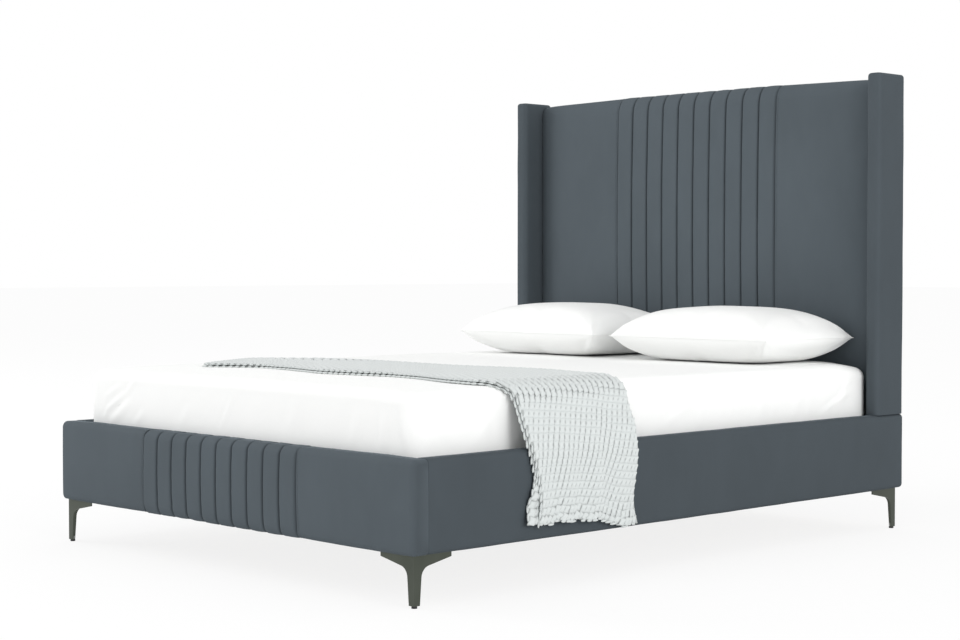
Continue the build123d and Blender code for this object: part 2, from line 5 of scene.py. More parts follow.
import bpy
import numpy as np
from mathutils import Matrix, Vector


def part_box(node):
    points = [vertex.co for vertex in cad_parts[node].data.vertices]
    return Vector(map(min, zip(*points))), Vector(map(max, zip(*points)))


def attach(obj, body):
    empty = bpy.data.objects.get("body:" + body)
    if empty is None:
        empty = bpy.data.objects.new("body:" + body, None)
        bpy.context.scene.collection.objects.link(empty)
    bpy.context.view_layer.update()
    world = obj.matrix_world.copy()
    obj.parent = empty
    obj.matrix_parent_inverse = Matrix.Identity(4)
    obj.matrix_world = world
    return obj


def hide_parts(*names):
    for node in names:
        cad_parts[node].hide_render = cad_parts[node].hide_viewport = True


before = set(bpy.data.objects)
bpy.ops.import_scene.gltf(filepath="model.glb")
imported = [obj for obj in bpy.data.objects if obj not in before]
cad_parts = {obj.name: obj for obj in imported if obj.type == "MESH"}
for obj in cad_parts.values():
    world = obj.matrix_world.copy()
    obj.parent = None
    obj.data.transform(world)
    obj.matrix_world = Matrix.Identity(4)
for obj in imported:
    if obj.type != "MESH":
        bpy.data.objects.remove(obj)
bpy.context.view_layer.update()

bl_info = {
    "name": "Upholstered Bed Dressing",
    "version": (1, 0, 0),
    "blender": (4, 5, 0),
    "location": "View3D > Sidebar > Bed",
    "description": "Covers the packed bed frame in velvet and makes up its bedding",
    "category": "Object",
}

SIDES = ("left", "right")
TURNS = {"left": -1, "right": 1}


def node_box(name):
    """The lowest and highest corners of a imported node."""
    low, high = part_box(name)
    return np.array(low), np.array(high)


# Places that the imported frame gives, in metres
FOOT_LOW, FOOT_HIGH = node_box("footboard_cover_right")
FOOT_ROW_LOW, FOOT_ROW_HIGH = node_box("footboard_channel_panel")
HEAD_LOW, HEAD_HIGH = node_box("headboard_cover_right")
HEAD_ROW_LOW, HEAD_ROW_HIGH = node_box("headboard_channel_panel")
BOARD_LOW, BOARD_HIGH = node_box("headboard_panel_board")
LINING_LOW, LINING_HIGH = node_box("headboard_back_cloth")
SLATS_LOW, SLATS_HIGH = node_box("slats")
STRAP_LOW, STRAP_HIGH = node_box("slat_webbing")
MATTRESS_LOW, MATTRESS_HIGH = node_box("mattress")
SHEET_LOW, SHEET_HIGH = node_box("fitted_sheet")
THROW_LOW = node_box("throw")[0]
RAIL_HIGH = node_box("side_rail_right_cover")[1]

# Upholstery: lengths in metres, painted side shades as shares, channels and gaps as counts
RAIL_ROUND = 0.014
RAIL_PADDING = 0.012
RAIL_END_ROUND = 0.006
WING_PADDING = 0.010
WING_FRONT_ROUND = 0.018
WING_BACK_ROUND = 0.012
WING_TOP_ROUND = 0.0108
FOOT_CORNER_ROUND = 0.017
FOOT_TOP_ROLL = (0.017, 0.018)
FOOT_BOTTOM_ROLL = (0.016, 0.012)
FOOT_ROW_TOP_ROLL = (0.024, 0.026)
FOOT_ROW_BOTTOM_ROLL = (0.030, 0.015)
HEAD_BACK_ROUND = 0.016
HEAD_END_ROUND = 0.005
HEAD_FLAP = 0.002
HEAD_ROLL = (0.040, 0.058)
HEAD_ROLL_AT_WING = (0.024, 0.036)
HEAD_ROW_ROLL = (0.043, 0.062)
HEAD_DRAW_IN = 0.020
HEAD_DRAW_IN_WIDTH = 0.120
HEAD_SIDE_DROP = 0.008
PANEL_HALF = HEAD_ROW_HIGH[0]
CHANNEL_COUNT = 10
CHANNEL_PROUD = 0.004
SHARP_ROUND = 0.0015
TINY_ROUND = 0.0005
FLAP_EDGE = LINING_HIGH[2]
LINING_CLOTH = 0.0006
SEAM_DEPTH = 0.0015
# How much painted shade darkens faces turned to the bed's sides, and the wings, as shares
SIDE_PAINTED_SHADE = 0.76
WING_PAINTED_SHADE = 0.45
FOOT_BULGE = 0.005
HEAD_BULGE = 0.009
TOP_STITCH_GAP = 0.007
STRAP_WIDTH = 0.025
SLAT_WIDTH = 0.065
SLAT_GAPS = 12
STITCH_RADIUS = 0.0006
STITCH_PITCH = 0.0068
# A plain field's loops: how far those next to its seam lie from it, and the step between the others
NEAR_SEAM = (0, 0.0004, 0.0012, 0.0025, 0.004, 0.0055, 0.007, 0.0085, 0.0105, 0.014)
FIELD_STEP = 0.022
# A channel's loops: how far they lie from its seam
NEAR_CHANNEL = (0, 0.0003, 0.0009, 0.0018, 0.003, 0.0045, 0.0062, 0.0082, 0.0105, 0.016, 0.025)

# Bedding, in metres
SHEET_GAP = 0.003
PAD_LOW, PAD_HIGH = MATTRESS_LOW + SHEET_GAP, MATTRESS_HIGH - SHEET_GAP
MATTRESS_CORNER = 0.055
MATTRESS_EDGE = 0.014
MATTRESS_TOP_ROLL = (0.034, 0.028)
PIPING_DROP = 0.032
PIPING_RISE = 0.016
PIPING_RADIUS = 0.0024
SHEET_CLOTH = 0.0009
SHEET_CORNER = 0.0562
SHEET_EDGE = 0.0152
THROW_LOWER = 0.0021
THROW_UPPER = 0.0086
THROW_CLOTH = 0.003
PUFF_WIDTH = 0.0195
PUFF_LENGTH = 0.0215
# Where the sheet's corner seams run down its foot end
SHEET_SEAMS = (-0.648, 0.690)
# A pillow: its seam's height, its depth before it is filled, its piping, and how far filling moves its case
PILLOW_SEAM = 0.079
PILLOW_DEPTH = 0.090
PILLOW_PIPING = (0.0022, 0.0016)
FILL_REACH = 0.012
# Points along and across a pillow's panel, puffs across the throw, and the share where its fold begins
PILLOW_GRID = (54, 38)
PUFF_COLUMNS = 22
FOLD_SHARE = 0.992
CASE_CLOTH = {
    "quality": 5,
    "mass": 0.3,
    "tension_stiffness": 22,
    "compression_stiffness": 14,
    "shear_stiffness": 4,
    "bending_stiffness": 0.35,
    "air_damping": 2,
}
# The throw's near and far edges: on the bed as (x, y), then hanging as (z, y). Its hem is (share, z).
NEAR_ON_BED = (
    (-0.690, -0.745), (-0.500, -0.742), (-0.430, -0.700), (-0.330, -0.655), (-0.180, -0.662), (0.000, -0.700),
    (0.110, -0.690), (0.270, -0.662), (0.400, -0.672), (0.565, -0.716), (0.700, -0.734),
)
NEAR_HANGING = (
    (0.538, -0.712), (0.525, -0.684), (0.508, -0.668), (0.452, -0.672), (0.394, -0.672), (0.374, -0.663),
    (0.322, -0.649), (0.276, -0.638), (0.220, -0.634), (0.181, -0.645), (0.130, -0.656),
)
FAR_ON_BED = (
    (-0.690, -0.300), (-0.450, -0.262), (-0.200, -0.262), (0.000, -0.255), (0.200, -0.235), (0.350, -0.228),
    (0.500, -0.234), (0.640, -0.258), (0.720, -0.248),
)
FAR_HANGING = (
    (0.527, -0.238), (0.508, -0.234), (0.468, -0.246), (0.418, -0.242), (0.383, -0.249), (0.334, -0.244),
    (0.282, -0.252), (0.229, -0.264), (0.187, -0.264), (0.130, -0.246),
)
HEM = ((0.0, 0.174), (0.18, 0.178), (0.43, 0.175), (0.57, 0.168), (0.64, 0.170), (0.77, 0.148), (1.0, 0.140))

# The photograph's view: place in metres, angles in degrees, lens and sensor in millimetres
EYE = (4.29465, -4.16247, 0.85877)
EYE_TILT = 1.664
EYE_TURN = 46.26
LENS = 70.415
SENSOR = 36
KEY_PLACE = (-9.7, -5.2, 4.0)
FILL_PLACE = (10.5, -1.5, 3.5)
LIGHT_SIZE = 4.5
LIGHT_AIM = (0, 0, 0.5)

# Pieces of one finish, by how their names start
PINE_ACROSS = ("slats", "headboard_top_rail", "headboard_middle_rail", "headboard_bottom_rail")
PLY_PARTS = (
    "headboard_panel_board", "footboard_core", "side_rail_left_core", "side_rail_right_core",
    "wing_left_core", "wing_right_core",
)
ZINC_PARTS = ("beam_hanger", "corner_brackets", "bracket_bolts", "wing_bolts", "frame_screws")


def sum_of(operation, flipped=False):
    """A method that works out a Math node from a value and another term."""

    def method(self, other):
        return self.maths(operation, *((other, self) if flipped else (self, other)))

    return method


class Value:
    """A number that a node gives. Sums written with it become Math nodes."""

    def __init__(self, nodes, socket):
        self.nodes = nodes
        self.socket = socket

    def maths(self, operation, *terms):
        return self.nodes.value("ShaderNodeMath", dict(enumerate(terms)), operation=operation)

    __add__ = __radd__ = sum_of("ADD")
    __sub__ = sum_of("SUBTRACT")
    __rsub__ = sum_of("SUBTRACT", flipped=True)
    __mul__ = __rmul__ = sum_of("MULTIPLY")
    __truediv__ = sum_of("DIVIDE")
    __pow__ = sum_of("POWER")


def socket_of(source):
    """The socket behind a value or a node's first output, or else the source itself."""
    if isinstance(source, Value):
        return source.socket
    return source.outputs[0] if isinstance(source, bpy.types.Node) else source


class Nodes:
    """Adds nodes to one tree, each with its settings first and then its sockets."""

    def __init__(self, tree):
        self.tree = tree
        tree.nodes.clear()

    def add(self, kind, sockets=None, **settings):
        node = self.tree.nodes.new(kind)
        for name, value in settings.items():
            setattr(node, name, value)
        for name, value in (sockets or {}).items():
            source = socket_of(value)
            if isinstance(source, bpy.types.NodeSocket):
                self.tree.links.new(source, node.inputs[name])
            else:
                node.inputs[name].default_value = source
        return node

    def value(self, kind, sockets=None, output=0, **settings):
        return Value(self, self.add(kind, sockets, **settings).outputs[output])

    def seen_by(self, *rays):
        """1 for rays of these kinds and 0 for others."""
        path = self.add("ShaderNodeLightPath").outputs
        seen = Value(self, path[f"Is {rays[0]} Ray"])
        for ray in rays[1:]:
            seen = seen.maths("MAXIMUM", seen, path[f"Is {ray} Ray"])
        return seen


class Finish(Nodes):
    """A material: its shader, its coordinates and the patterns that its maker asks for."""

    def __init__(self, name, **shader):
        self.material = bpy.data.materials.new(name)
        self.material.use_nodes = True
        super().__init__(self.material.node_tree)
        sockets = {key.replace("_", " "): value for key, value in shader.items()}
        self.shader = self.add("ShaderNodeBsdfPrincipled", sockets)
        self.add("ShaderNodeOutputMaterial", {"Surface": self.shader})
        self.coordinates = self.add("ShaderNodeTexCoord").outputs["Object"]

    def place(self, stretch=(1, 1, 1)):
        return self.add("ShaderNodeMapping", {"Vector": self.coordinates, "Scale": stretch})

    def noise(self, scale, detail=2, stretch=(1, 1, 1), roughness=0.5):
        sockets = {"Vector": self.place(stretch), "Scale": scale, "Detail": detail, "Roughness": roughness}
        return self.value("ShaderNodeTexNoise", sockets)

    def wave(self, scale, direction, distortion=0):
        sockets = {"Vector": self.place(), "Scale": scale, "Distortion": distortion}
        return self.value("ShaderNodeTexWave", sockets, output=1, bands_direction=direction)

    def stored(self, name):
        """A number that the mesh carries at each point."""
        return self.value("ShaderNodeAttribute", output=2, attribute_name=name)

    def ramp(self, value, *stops):
        node = self.add("ShaderNodeValToRGB", {"Fac": value})
        elements = node.color_ramp.elements
        while len(elements) < len(stops):
            elements.new(1)
        for element, (place, grey) in zip(elements, stops):
            element.position = place
            element.color = (grey, grey, grey, 1)
        return Value(self, node.outputs[0])

    def blend(self, share, *colours):
        """From one colour to another by a share. Each is three numbers or a blend."""
        first, second = ((*colour, 1) if isinstance(colour, tuple) else colour for colour in colours)
        return self.add("ShaderNodeMix", {0: share, 6: first, 7: second}, data_type="RGBA").outputs[2]

    def done(self, colour, roughness, height, distance, strength):
        """Gives the shader its colour, roughness and bump, and hands over the material."""
        bump = self.add("ShaderNodeBump", {"Height": height, "Distance": distance, "Strength": strength})
        for name, source in {"Base Color": colour, "Roughness": roughness, "Normal": bump}.items():
            self.tree.links.new(socket_of(source), self.shader.inputs[name])
        return self.material


def shade(colour, factor):
    """The colour made darker or lighter."""
    return tuple(min(1, part * factor) for part in colour)


# Finishes
def velvet(settings):
    """Short-pile velvet: brushed patches, a soft sheen where it turns away, a fine pile, and painted shade in
    its seams and on its sides.
    """
    colour = settings.velvet_colour
    finish = Finish(
        "short-pile velvet",
        Sheen_Weight=settings.velvet_sheen,
        Sheen_Roughness=0.15,
        Sheen_Tint=(*shade(colour, 4.0), 1),
        Specular_IOR_Level=0.12,
    )
    patches = finish.noise(4.5, 3, (1, 1, 0.6))
    strokes = finish.noise(30, 2, (1, 1, 0.35))
    pile = finish.noise(1500, 1)
    share = finish.ramp(patches * 0.7 + strokes * 0.3, (0.34, 0), (0.66, 1))
    brushed = finish.blend(share, shade(colour, 0.94), shade(colour, 1.06))
    # Painted shade: the stored share darkens the velvet towards a quarter of its colour in the seams and on
    # faces turned to the bed's sides
    painted_shading = finish.blend(finish.stored("painted_shade") * 0.5, brushed, shade(colour, 0.25))
    return finish.done(painted_shading, 0.78 + 0.14 * strokes, pile * 0.6 + strokes * 0.4, 0.0006, 0.35)


def grained(name, grain, colours, roughness, bump, **shader):
    """A finish with one grain of a (scale, detail): the colours of its hollows and crests, the roughness of
    its hollows and what its crests add, and the (distance, strength) of its bump."""
    finish = Finish(name, **shader)
    tone = finish.noise(*grain)
    return finish.done(finish.blend(tone, *colours), roughness[0] + roughness[1] * tone, tone, *bump)


def thread(settings):
    """Twisted sewing thread a shade lighter than the velvet."""
    colours = [shade(settings.velvet_colour, factor) for factor in (1.0, 1.35)]
    shader = {"Sheen_Weight": 0.2, "Specular_IOR_Level": 0.3}
    return grained("sewing thread", (2500, 1), colours, (0.55, 0.2), (0.0003, 0.5), **shader)


def zinc():
    """Zinc-plated steel with a fine spangle."""
    colours = ((0.50, 0.51, 0.52), (0.66, 0.67, 0.68))
    return grained("zinc steel", (120, 2), colours, (0.3, 0.2), (0.0001, 0.3), Metallic=1.0)


def black_steel():
    """Powder-coated steel: black with a light orange-peel."""
    colours = ((0.012, 0.012, 0.013), (0.026, 0.026, 0.028))
    return grained("black steel", (420, 2), colours, (0.42, 0.14), (0.0003, 0.35), Specular_IOR_Level=0.45)


def black_plastic():
    """Moulded plastic with a fine spark-eroded texture."""
    colours = ((0.010, 0.010, 0.011), (0.020, 0.020, 0.021))
    return grained("black plastic", (900, 2), colours, (0.38, 0.2), (0.0002, 0.3), Specular_IOR_Level=0.4)


def gunmetal():
    """Plated castings: a dark warm grey with a satin, slightly streaked surface."""
    finish = Finish("cast gunmetal", Metallic=1.0, Coat_Roughness=0.2)
    cloud = finish.noise(14, 3)
    grain = finish.noise(260, 2, (1, 1, 0.12))
    colour = finish.blend(cloud, (0.066, 0.074, 0.061), (0.098, 0.108, 0.090))
    return finish.done(colour, 0.27 + 0.16 * grain + 0.05 * cloud, grain, 0.0002, 0.2)


def timber(name, light, dark, stretch):
    """Planed wood whose grain runs along the axis that is stretched least."""
    finish = Finish(name, Specular_IOR_Level=0.35)
    growth = finish.noise(9, 5, stretch, 0.6)
    fibre = finish.noise(55, 3, stretch)
    rings = finish.ramp(growth, (0.30, 0), (0.47, 0.8), (0.53, 0.25), (0.70, 1))
    colour = finish.blend(rings * 0.7 + fibre * 0.3, dark, light)
    return finish.done(colour, 0.55 + 0.2 * fibre, fibre, 0.0004, 0.4)


def lining():
    """Black non-woven lining: bonded fibres with pressed dots."""
    finish = Finish("back lining", Sheen_Weight=0.15, Specular_IOR_Level=0.2)
    fibres = finish.noise(350, 4)
    dots = finish.wave(420, "X") * finish.wave(420, "Z")
    colour = finish.blend(fibres, (0.016, 0.016, 0.017), (0.034, 0.034, 0.036))
    return finish.done(colour, 0.85 + 0.1 * fibres, fibres - 0.6 * dots, 0.0004, 0.6)


def webbing():
    """Woven strap with its ribs across it."""
    finish = Finish("woven webbing", Sheen_Weight=0.2, Specular_IOR_Level=0.25)
    ribs = finish.wave(900, "Y")
    cords = finish.wave(1300, "X")
    colour = finish.blend(ribs * cords, (0.03, 0.03, 0.032), (0.085, 0.085, 0.09))
    return finish.done(colour, 0.7 + 0.15 * ribs, ribs + 0.6 * cords, 0.0005, 0.7)


def cotton(name, colour):
    """Plain-woven cotton that keeps the faint marks of its folds."""
    finish = Finish(name, Sheen_Weight=0.12, Sheen_Roughness=0.6, Specular_IOR_Level=0.25)
    cloud = finish.noise(7, 4)
    weave = finish.noise(1200, 1)
    marks = finish.noise(16, 3, roughness=0.6)
    faded = finish.blend(cloud, shade(colour, 0.985), shade(colour, 1))
    return finish.done(faded, 0.82 + 0.1 * weave, marks * 0.8 + weave * 0.06, 0.0035, 0.35)


def mattress_cloth():
    """Knitted mattress ticking with a small raised quilting."""
    finish = Finish("mattress ticking", Sheen_Weight=0.15, Specular_IOR_Level=0.2)
    quilting = finish.wave(38, "X", 0.4) * finish.wave(38, "Y", 0.4)
    yarn = finish.noise(900, 1)
    colour = finish.blend(quilting, (0.70, 0.71, 0.71), (0.82, 0.82, 0.81))
    return finish.done(colour, 0.8 + 0.1 * yarn, quilting + 0.1 * yarn, 0.002, 0.6)


def knit(name, colour, depth):
    """Soft yarn: fine twisted strands, with painted shade in their hollows."""
    finish = Finish(name, Sheen_Weight=0.35, Sheen_Roughness=0.5, Specular_IOR_Level=0.2)
    strands = finish.noise(420, 3, (1, 1, 0.6))
    fuzz = finish.noise(2200, 1)
    yarn = finish.blend(strands, shade(colour, 1 - depth), shade(colour, 1.06))
    # Painted shade in the slits and between the rows of puffs
    shaded = finish.blend(finish.stored("hollow") * 0.6, yarn, shade(colour, 0.3))
    return finish.done(shaded, 0.85 + 0.1 * fuzz, strands + 0.3 * fuzz, 0.0008, 0.6)


# Meshes
def in_scene(name, data):
    """A new object of the scene that shows the data."""
    piece = bpy.data.objects.new(name, data)
    bpy.context.scene.collection.objects.link(piece)
    return piece


def unit(vectors):
    """The vectors made 1 long."""
    return vectors / np.maximum(np.linalg.norm(vectors, axis=-1, keepdims=True), 1e-9)


def quads(index):
    """Four-cornered faces between the rows of a grid of point numbers."""
    return np.stack([index[:-1, :-1], index[:-1, 1:], index[1:, 1:], index[1:, :-1]], axis=-1).reshape(-1, 4)


def numbered(rows, columns):
    """The numbers of points that stand in rows."""
    return np.arange(rows * columns).reshape(rows, columns)


def finished(piece, material, body, nodes=()):
    """Gives a piece its material, the body that it rides on, and the nodes that it stands for."""
    piece.data.materials.clear()
    piece.data.materials.append(material)
    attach(piece, body)
    if nodes:
        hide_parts(*nodes)
    return piece


def new_piece(name, points, faces, sharp_angle=50):
    """A smooth-shaded mesh object whose edges stay sharp past an angle."""
    mesh = bpy.data.meshes.new(name)
    mesh.from_pydata([tuple(p) for p in points], [], faces)
    mesh.update()
    piece = in_scene(name, mesh)
    mesh.polygons.foreach_set("use_smooth", [True] * len(mesh.polygons))
    mesh.set_sharp_from_angle(angle=math.radians(sharp_angle))
    return piece


def signed_volume(points, faces):
    """Six times the volume inside a closed skin, below nought where its faces look inwards."""
    total = 0.0
    for face in faces:
        first = points[face[0]]
        for second, third in zip(face[1:-1], face[2:]):
            total += first @ np.cross(points[second], points[third])
    return total


def skin(name, rings, looped=False, closed=True, sharp_angle=50):
    """Quads through a row of rings. Flat caps close both ends, or the last one, unless the row joins up."""
    rings = np.asarray(rings, float)
    index = numbered(*rings.shape[:2])
    rows = np.concatenate([index, index[:1]]) if looped else index
    faces = quads(np.concatenate([rows, rows[:, :1]], axis=1)).tolist()
    caps = [] if looped else [index[0][::-1].tolist(), index[-1].tolist()]
    faces += caps if closed else caps[1:]
    points = rings.reshape(-1, 3)
    if closed and signed_volume(points, faces) < 0:
        faces = [face[::-1] for face in faces]
    return new_piece(name, points, faces, sharp_angle)


def outline(corners, reaches, runs, steps):
    """A closed loop through corners, anticlockwise, each corner rounded.
    A reach is how far from its corner a rounding begins and ends, or a pair of them for an oval one.
    runs[i] points lie on the straight run after corner i and steps[i] + 1 on its arc.
    Gives the points, their outward normals and the corner that each belongs to."""
    corners = np.array(corners, float)
    ahead = unit(np.roll(corners, -1, axis=0) - corners)
    behind = np.roll(ahead, 1, axis=0)
    arcs = []
    for corner, before, after, reach, count in zip(corners, behind, ahead, reaches, steps):
        arrive, leave = np.broadcast_to(reach, 2)
        turn = np.linspace(0, math.pi / 2, count + 1)[:, None]
        arc = corner - before * arrive * (1 - np.sin(turn)) + after * leave * (1 - np.cos(turn))
        along = unit(before * arrive * np.cos(turn) + after * leave * np.sin(turn))
        arcs.append((arc, np.stack([along[:, 1], -along[:, 0]], axis=1)))
    points, normals, owners = [], [], []
    for i, (arc, facing) in enumerate(arcs):
        share = np.linspace(0, 1, runs[i] + 2)[1:-1, None]
        following = arcs[(i + 1) % len(arcs)][0][0]
        points += [arc, arc[-1] + (following - arc[-1]) * share]
        normals += [facing, np.repeat(facing[-1:], runs[i], axis=0)]
        owners += [i] * (len(arc) + runs[i])
    return np.concatenate(points), np.concatenate(normals), np.array(owners)


def rectangle(low, high):
    """A rectangle's corners, anticlockwise from its lowest."""
    return [(low[0], low[1]), (high[0], low[1]), (high[0], high[1]), (low[0], high[1])]


def stood_up(flat, axis, along):
    """Points in a plane put into space at a place along an axis."""
    return np.insert(np.asarray(flat, float), axis, along, axis=1)


def section_at(flat, facing, axis, along):
    """A section's points and normals put into space at a place along an axis."""
    return stood_up(flat, axis, along), stood_up(facing, axis, 0)


def ripples(points, size, seed):
    """Smooth noise from about -1 to 1, with swells about size across, the same on every run."""
    draw = np.random.default_rng(seed)
    waves = draw.normal(size=(14, 3))
    lengths = np.linalg.norm(waves, axis=1, keepdims=True)
    waves *= (2 * math.pi / size) * draw.uniform(0.6, 1.3, (14, 1)) / lengths
    phases = draw.uniform(0, 2 * math.pi, 14)
    return np.sin(points @ waves.T + phases).sum(axis=-1) / 4


def swells(points, *waves):
    """Ripples of several sizes added up, each given as (size, seed, height)."""
    return sum(ripples(points, size, seed) * height for size, seed, height in waves)


def bell(distance, width):
    """A bump's height at a distance from its middle, from 1 down to 0."""
    return np.exp(-((distance / width) ** 2))


def padding_drift(points, seed):
    """The slight unevenness of a padded cover."""
    return swells(points, (0.22, seed, 0.0004), (0.07, seed + 1, 0.00012))[:, None]


def plump(points, normals, low, high, crown):
    """Moves points out along their normals, most in the middle of each face of a box."""
    share = np.clip((points - low) / (high - low), 0, 1)
    rise = 1 - (2 * share - 1) ** 4
    swell = np.prod(np.maximum(rise, np.abs(normals)), axis=-1, keepdims=True)
    return points + normals * crown * swell


def rolled(reach, depth, steps):
    """A rolled edge as (distance along, how far the surface draws in), from the edge inwards."""
    angles = np.linspace(0, math.pi / 2, steps + 1)
    return [(reach * (1 - math.cos(a)), depth * (1 - math.sin(a))) for a in angles]


def padded_sleeve(name, node, axis, radii, padding, end_round, settings, seed):
    """A padded cover over a board: rolled into a seam at its open low end, rounded at its closed high end."""
    low, high = node_box(node)
    across = [i for i in range(3) if i != axis]
    lengths = (high - low)[across]
    runs = [max(1, int(lengths[i % 2] / 0.02)) for i in range(4)]

    def ring(along, inset):
        corners = rectangle(low[across] + inset, high[across] - inset)
        kept = [max(radius - inset, TINY_ROUND) for radius in radii]
        flat, facing, _ = outline(corners, kept, runs, (7,) * 4)
        return section_at(flat, facing, axis, along)

    start, end = low[axis], high[axis]
    rings = [ring(along, padding)[0] for along in (end - padding, start)]
    roll = settings.seam_roll
    places = [(start + d, inset) for d, inset in rolled(roll, roll, 4)]
    places += [(along, 0) for along in np.arange(start + roll + 0.02, end - end_round - 0.01, 0.025)]
    places += [(end - d, inset) for d, inset in reversed(rolled(end_round, end_round, 5))]
    for along, inset in places:
        points, normals = ring(along, inset)
        points = plump(points, normals, low, high, settings.field_crown)
        rings.append(points + normals * padding_drift(points, seed))
    return skin(name, rings)


def points_with(points, **attributes):
    """A mesh object of loose points that carries vectors for a node tree to read."""
    mesh = bpy.data.meshes.new("places")
    mesh.from_pydata([tuple(p) for p in points], [], [])
    for name, vectors in attributes.items():
        attribute = mesh.attributes.new(name, "FLOAT_VECTOR", "POINT")
        attribute.data.foreach_set("vector", np.asarray(vectors, np.float32).ravel())
    return in_scene("places", mesh)


def node_group(name, **inputs):
    """An empty geometry tree with named inputs, and the sockets that give them."""
    tree = bpy.data.node_groups.new(name, "GeometryNodeTree")
    nodes = Nodes(tree)
    for way in ("INPUT", "OUTPUT"):
        tree.interface.new_socket("Geometry", in_out=way, socket_type="NodeSocketGeometry")
    for label, (kind, value) in inputs.items():
        socket = tree.interface.new_socket(label, in_out="INPUT", socket_type=f"NodeSocket{kind}")
        if value is not None:
            socket.default_value = value
    return nodes, nodes.add("NodeGroupInput").outputs


def close_tree(nodes, given, instances):
    """Ends a tree: instances made real, smooth and given their material."""
    real = nodes.add("GeometryNodeRealizeInstances", {"Geometry": instances})
    smooth = nodes.add("GeometryNodeSetShadeSmooth", {"Geometry": real, "Shade Smooth": True})
    painted = nodes.add("GeometryNodeSetMaterial", {"Geometry": smooth, "Material": given["Material"]})
    nodes.add("NodeGroupOutput", {"Geometry": painted})
    return nodes.tree


def scatter(nodes, given, shape):
    """Stands a shape on every point, turned by its facing and along vectors and scaled by its size."""
    facing, along, size = (
        nodes.add("GeometryNodeInputNamedAttribute", {"Name": name}, data_type="FLOAT_VECTOR")
        for name in ("facing", "along", "size")
    )
    upright = nodes.add("FunctionNodeAlignRotationToVector", {"Vector": facing}, axis="Z")
    turned = nodes.add(
        "FunctionNodeAlignRotationToVector", {"Rotation": upright, "Vector": along}, axis="Y", pivot_axis="Z"
    )
    places = nodes.add("GeometryNodeMeshToPoints", {"Mesh": given["Geometry"]})
    sockets = {"Points": places, "Instance": shape, "Rotation": turned, "Scale": size}
    return close_tree(nodes, given, nodes.add("GeometryNodeInstanceOnPoints", sockets))


def run_tree(name, holder, tree, **values):
    """Runs a tree on an object, keeps the result as a plain mesh and drops the modifier."""
    modifier = holder.modifiers.new(tree.name, "NODES")
    modifier.node_group = tree
    for item in tree.interface.items_tree:
        label = item.name.lower().replace(" ", "_")
        if item.item_type == "SOCKET" and item.in_out == "INPUT" and label in values:
            modifier[item.identifier] = values[label]
    bpy.context.view_layer.update()
    evaluated = holder.evaluated_get(bpy.context.evaluated_depsgraph_get())
    mesh = bpy.data.meshes.new_from_object(evaluated)
    mesh.name = name
    holder.modifiers.clear()
    bpy.data.objects.remove(holder)
    return in_scene(name, mesh)


def stitch_tree():
    """Sewn stitches: a rounded thread that dips at both ends, on each point."""
    nodes, given = node_group(
        "stitches", Length=("Float", 0.005), Radius=("Float", STITCH_RADIUS), Material=("Material", None)
    )
    ball = nodes.add("GeometryNodeMeshUVSphere", {"Segments": 6, "Rings": 6, "Radius": 1.0})
    half = Value(nodes, given["Length"]) * 0.5
    scale = nodes.add("ShaderNodeCombineXYZ", {0: given["Radius"], 1: given["Radius"], 2: half})
    sockets = {"Geometry": ball, "Rotation": (math.pi / 2, 0, 0), "Scale": scale}
    return scatter(nodes, given, nodes.add("GeometryNodeTransform", sockets))


def puff_tree():
    """Knitted puffs: on each point a low pillow of yarn with a slit at each side, and the painted shade of
    its hollows stored.
    """
    nodes, given = node_group(
        "knitted puffs",
        Width=("Float", PUFF_WIDTH),
        Length=("Float", PUFF_LENGTH),
        Height=("Float", 0.003),
        Lean=("Float", 0.45),
        Material=("Material", None),
    )
    width, length, height, lean = (Value(nodes, socket) for socket in list(given)[1:5])
    sockets = {"Size X": width, "Size Y": length, "Vertices X": 9, "Vertices Y": 9}
    sheet = nodes.add("GeometryNodeMeshGrid", sockets)
    place = nodes.add("ShaderNodeSeparateXYZ", {0: nodes.add("GeometryNodeInputPosition")}).outputs
    across = Value(nodes, place[0]) / width * 2
    along = Value(nodes, place[1]) / length * math.pi
    ridge = along.maths("MAXIMUM", along.maths("COSINE", along), 0)
    slit = across.maths("ABSOLUTE", across) ** 5 * ridge ** 4
    rise = (0.1 + 0.9 * ridge ** 0.7 - 0.85 * slit) * height
    offset = nodes.add("ShaderNodeCombineXYZ", {0: Value(nodes, place[1]) * lean, 2: rise})
    # Painted shade: the slits, and the dips between the rows
    hollow = slit + 0.25 * (1 - ridge) ** 3
    sockets = {"Geometry": sheet, "Name": "hollow", "Value": hollow}
    stored = nodes.add("GeometryNodeStoreNamedAttribute", sockets, data_type="FLOAT")
    return scatter(nodes, given, nodes.add("GeometryNodeSetPosition", {"Geometry": stored, "Offset": offset}))


def row_tree():
    """A row of like channels, side by side along the bed's width."""
    nodes, given = node_group(
        "channel row",
        Channel=("Object", None),
        Count=("Int", CHANNEL_COUNT),
        Pitch=("Float", 0.072),
        Material=("Material", None),
    )
    pitch, count = (Value(nodes, given[name]) for name in ("Pitch", "Count"))
    first = nodes.add("ShaderNodeCombineXYZ", {0: (count - 1) * pitch * -0.5})
    step = nodes.add("ShaderNodeCombineXYZ", {0: pitch})
    line = nodes.add("GeometryNodeMeshLine", {"Count": count, "Start Location": first, "Offset": step})
    channel = nodes.add("GeometryNodeObjectInfo", {"Object": given["Channel"]}).outputs["Geometry"]
    row = nodes.add("GeometryNodeInstanceOnPoints", {"Points": line, "Instance": channel})
    return close_tree(nodes, given, row)


def run_along(points):
    """How far along a line each of its points lies."""
    return np.concatenate([[0], np.cumsum(np.linalg.norm(np.diff(points, axis=0), axis=1))])


def read_off(wanted, travelled, rows):
    """Rows of numbers read off at wanted distances."""
    return np.stack([np.interp(wanted, travelled, column) for column in rows.T], axis=-1)


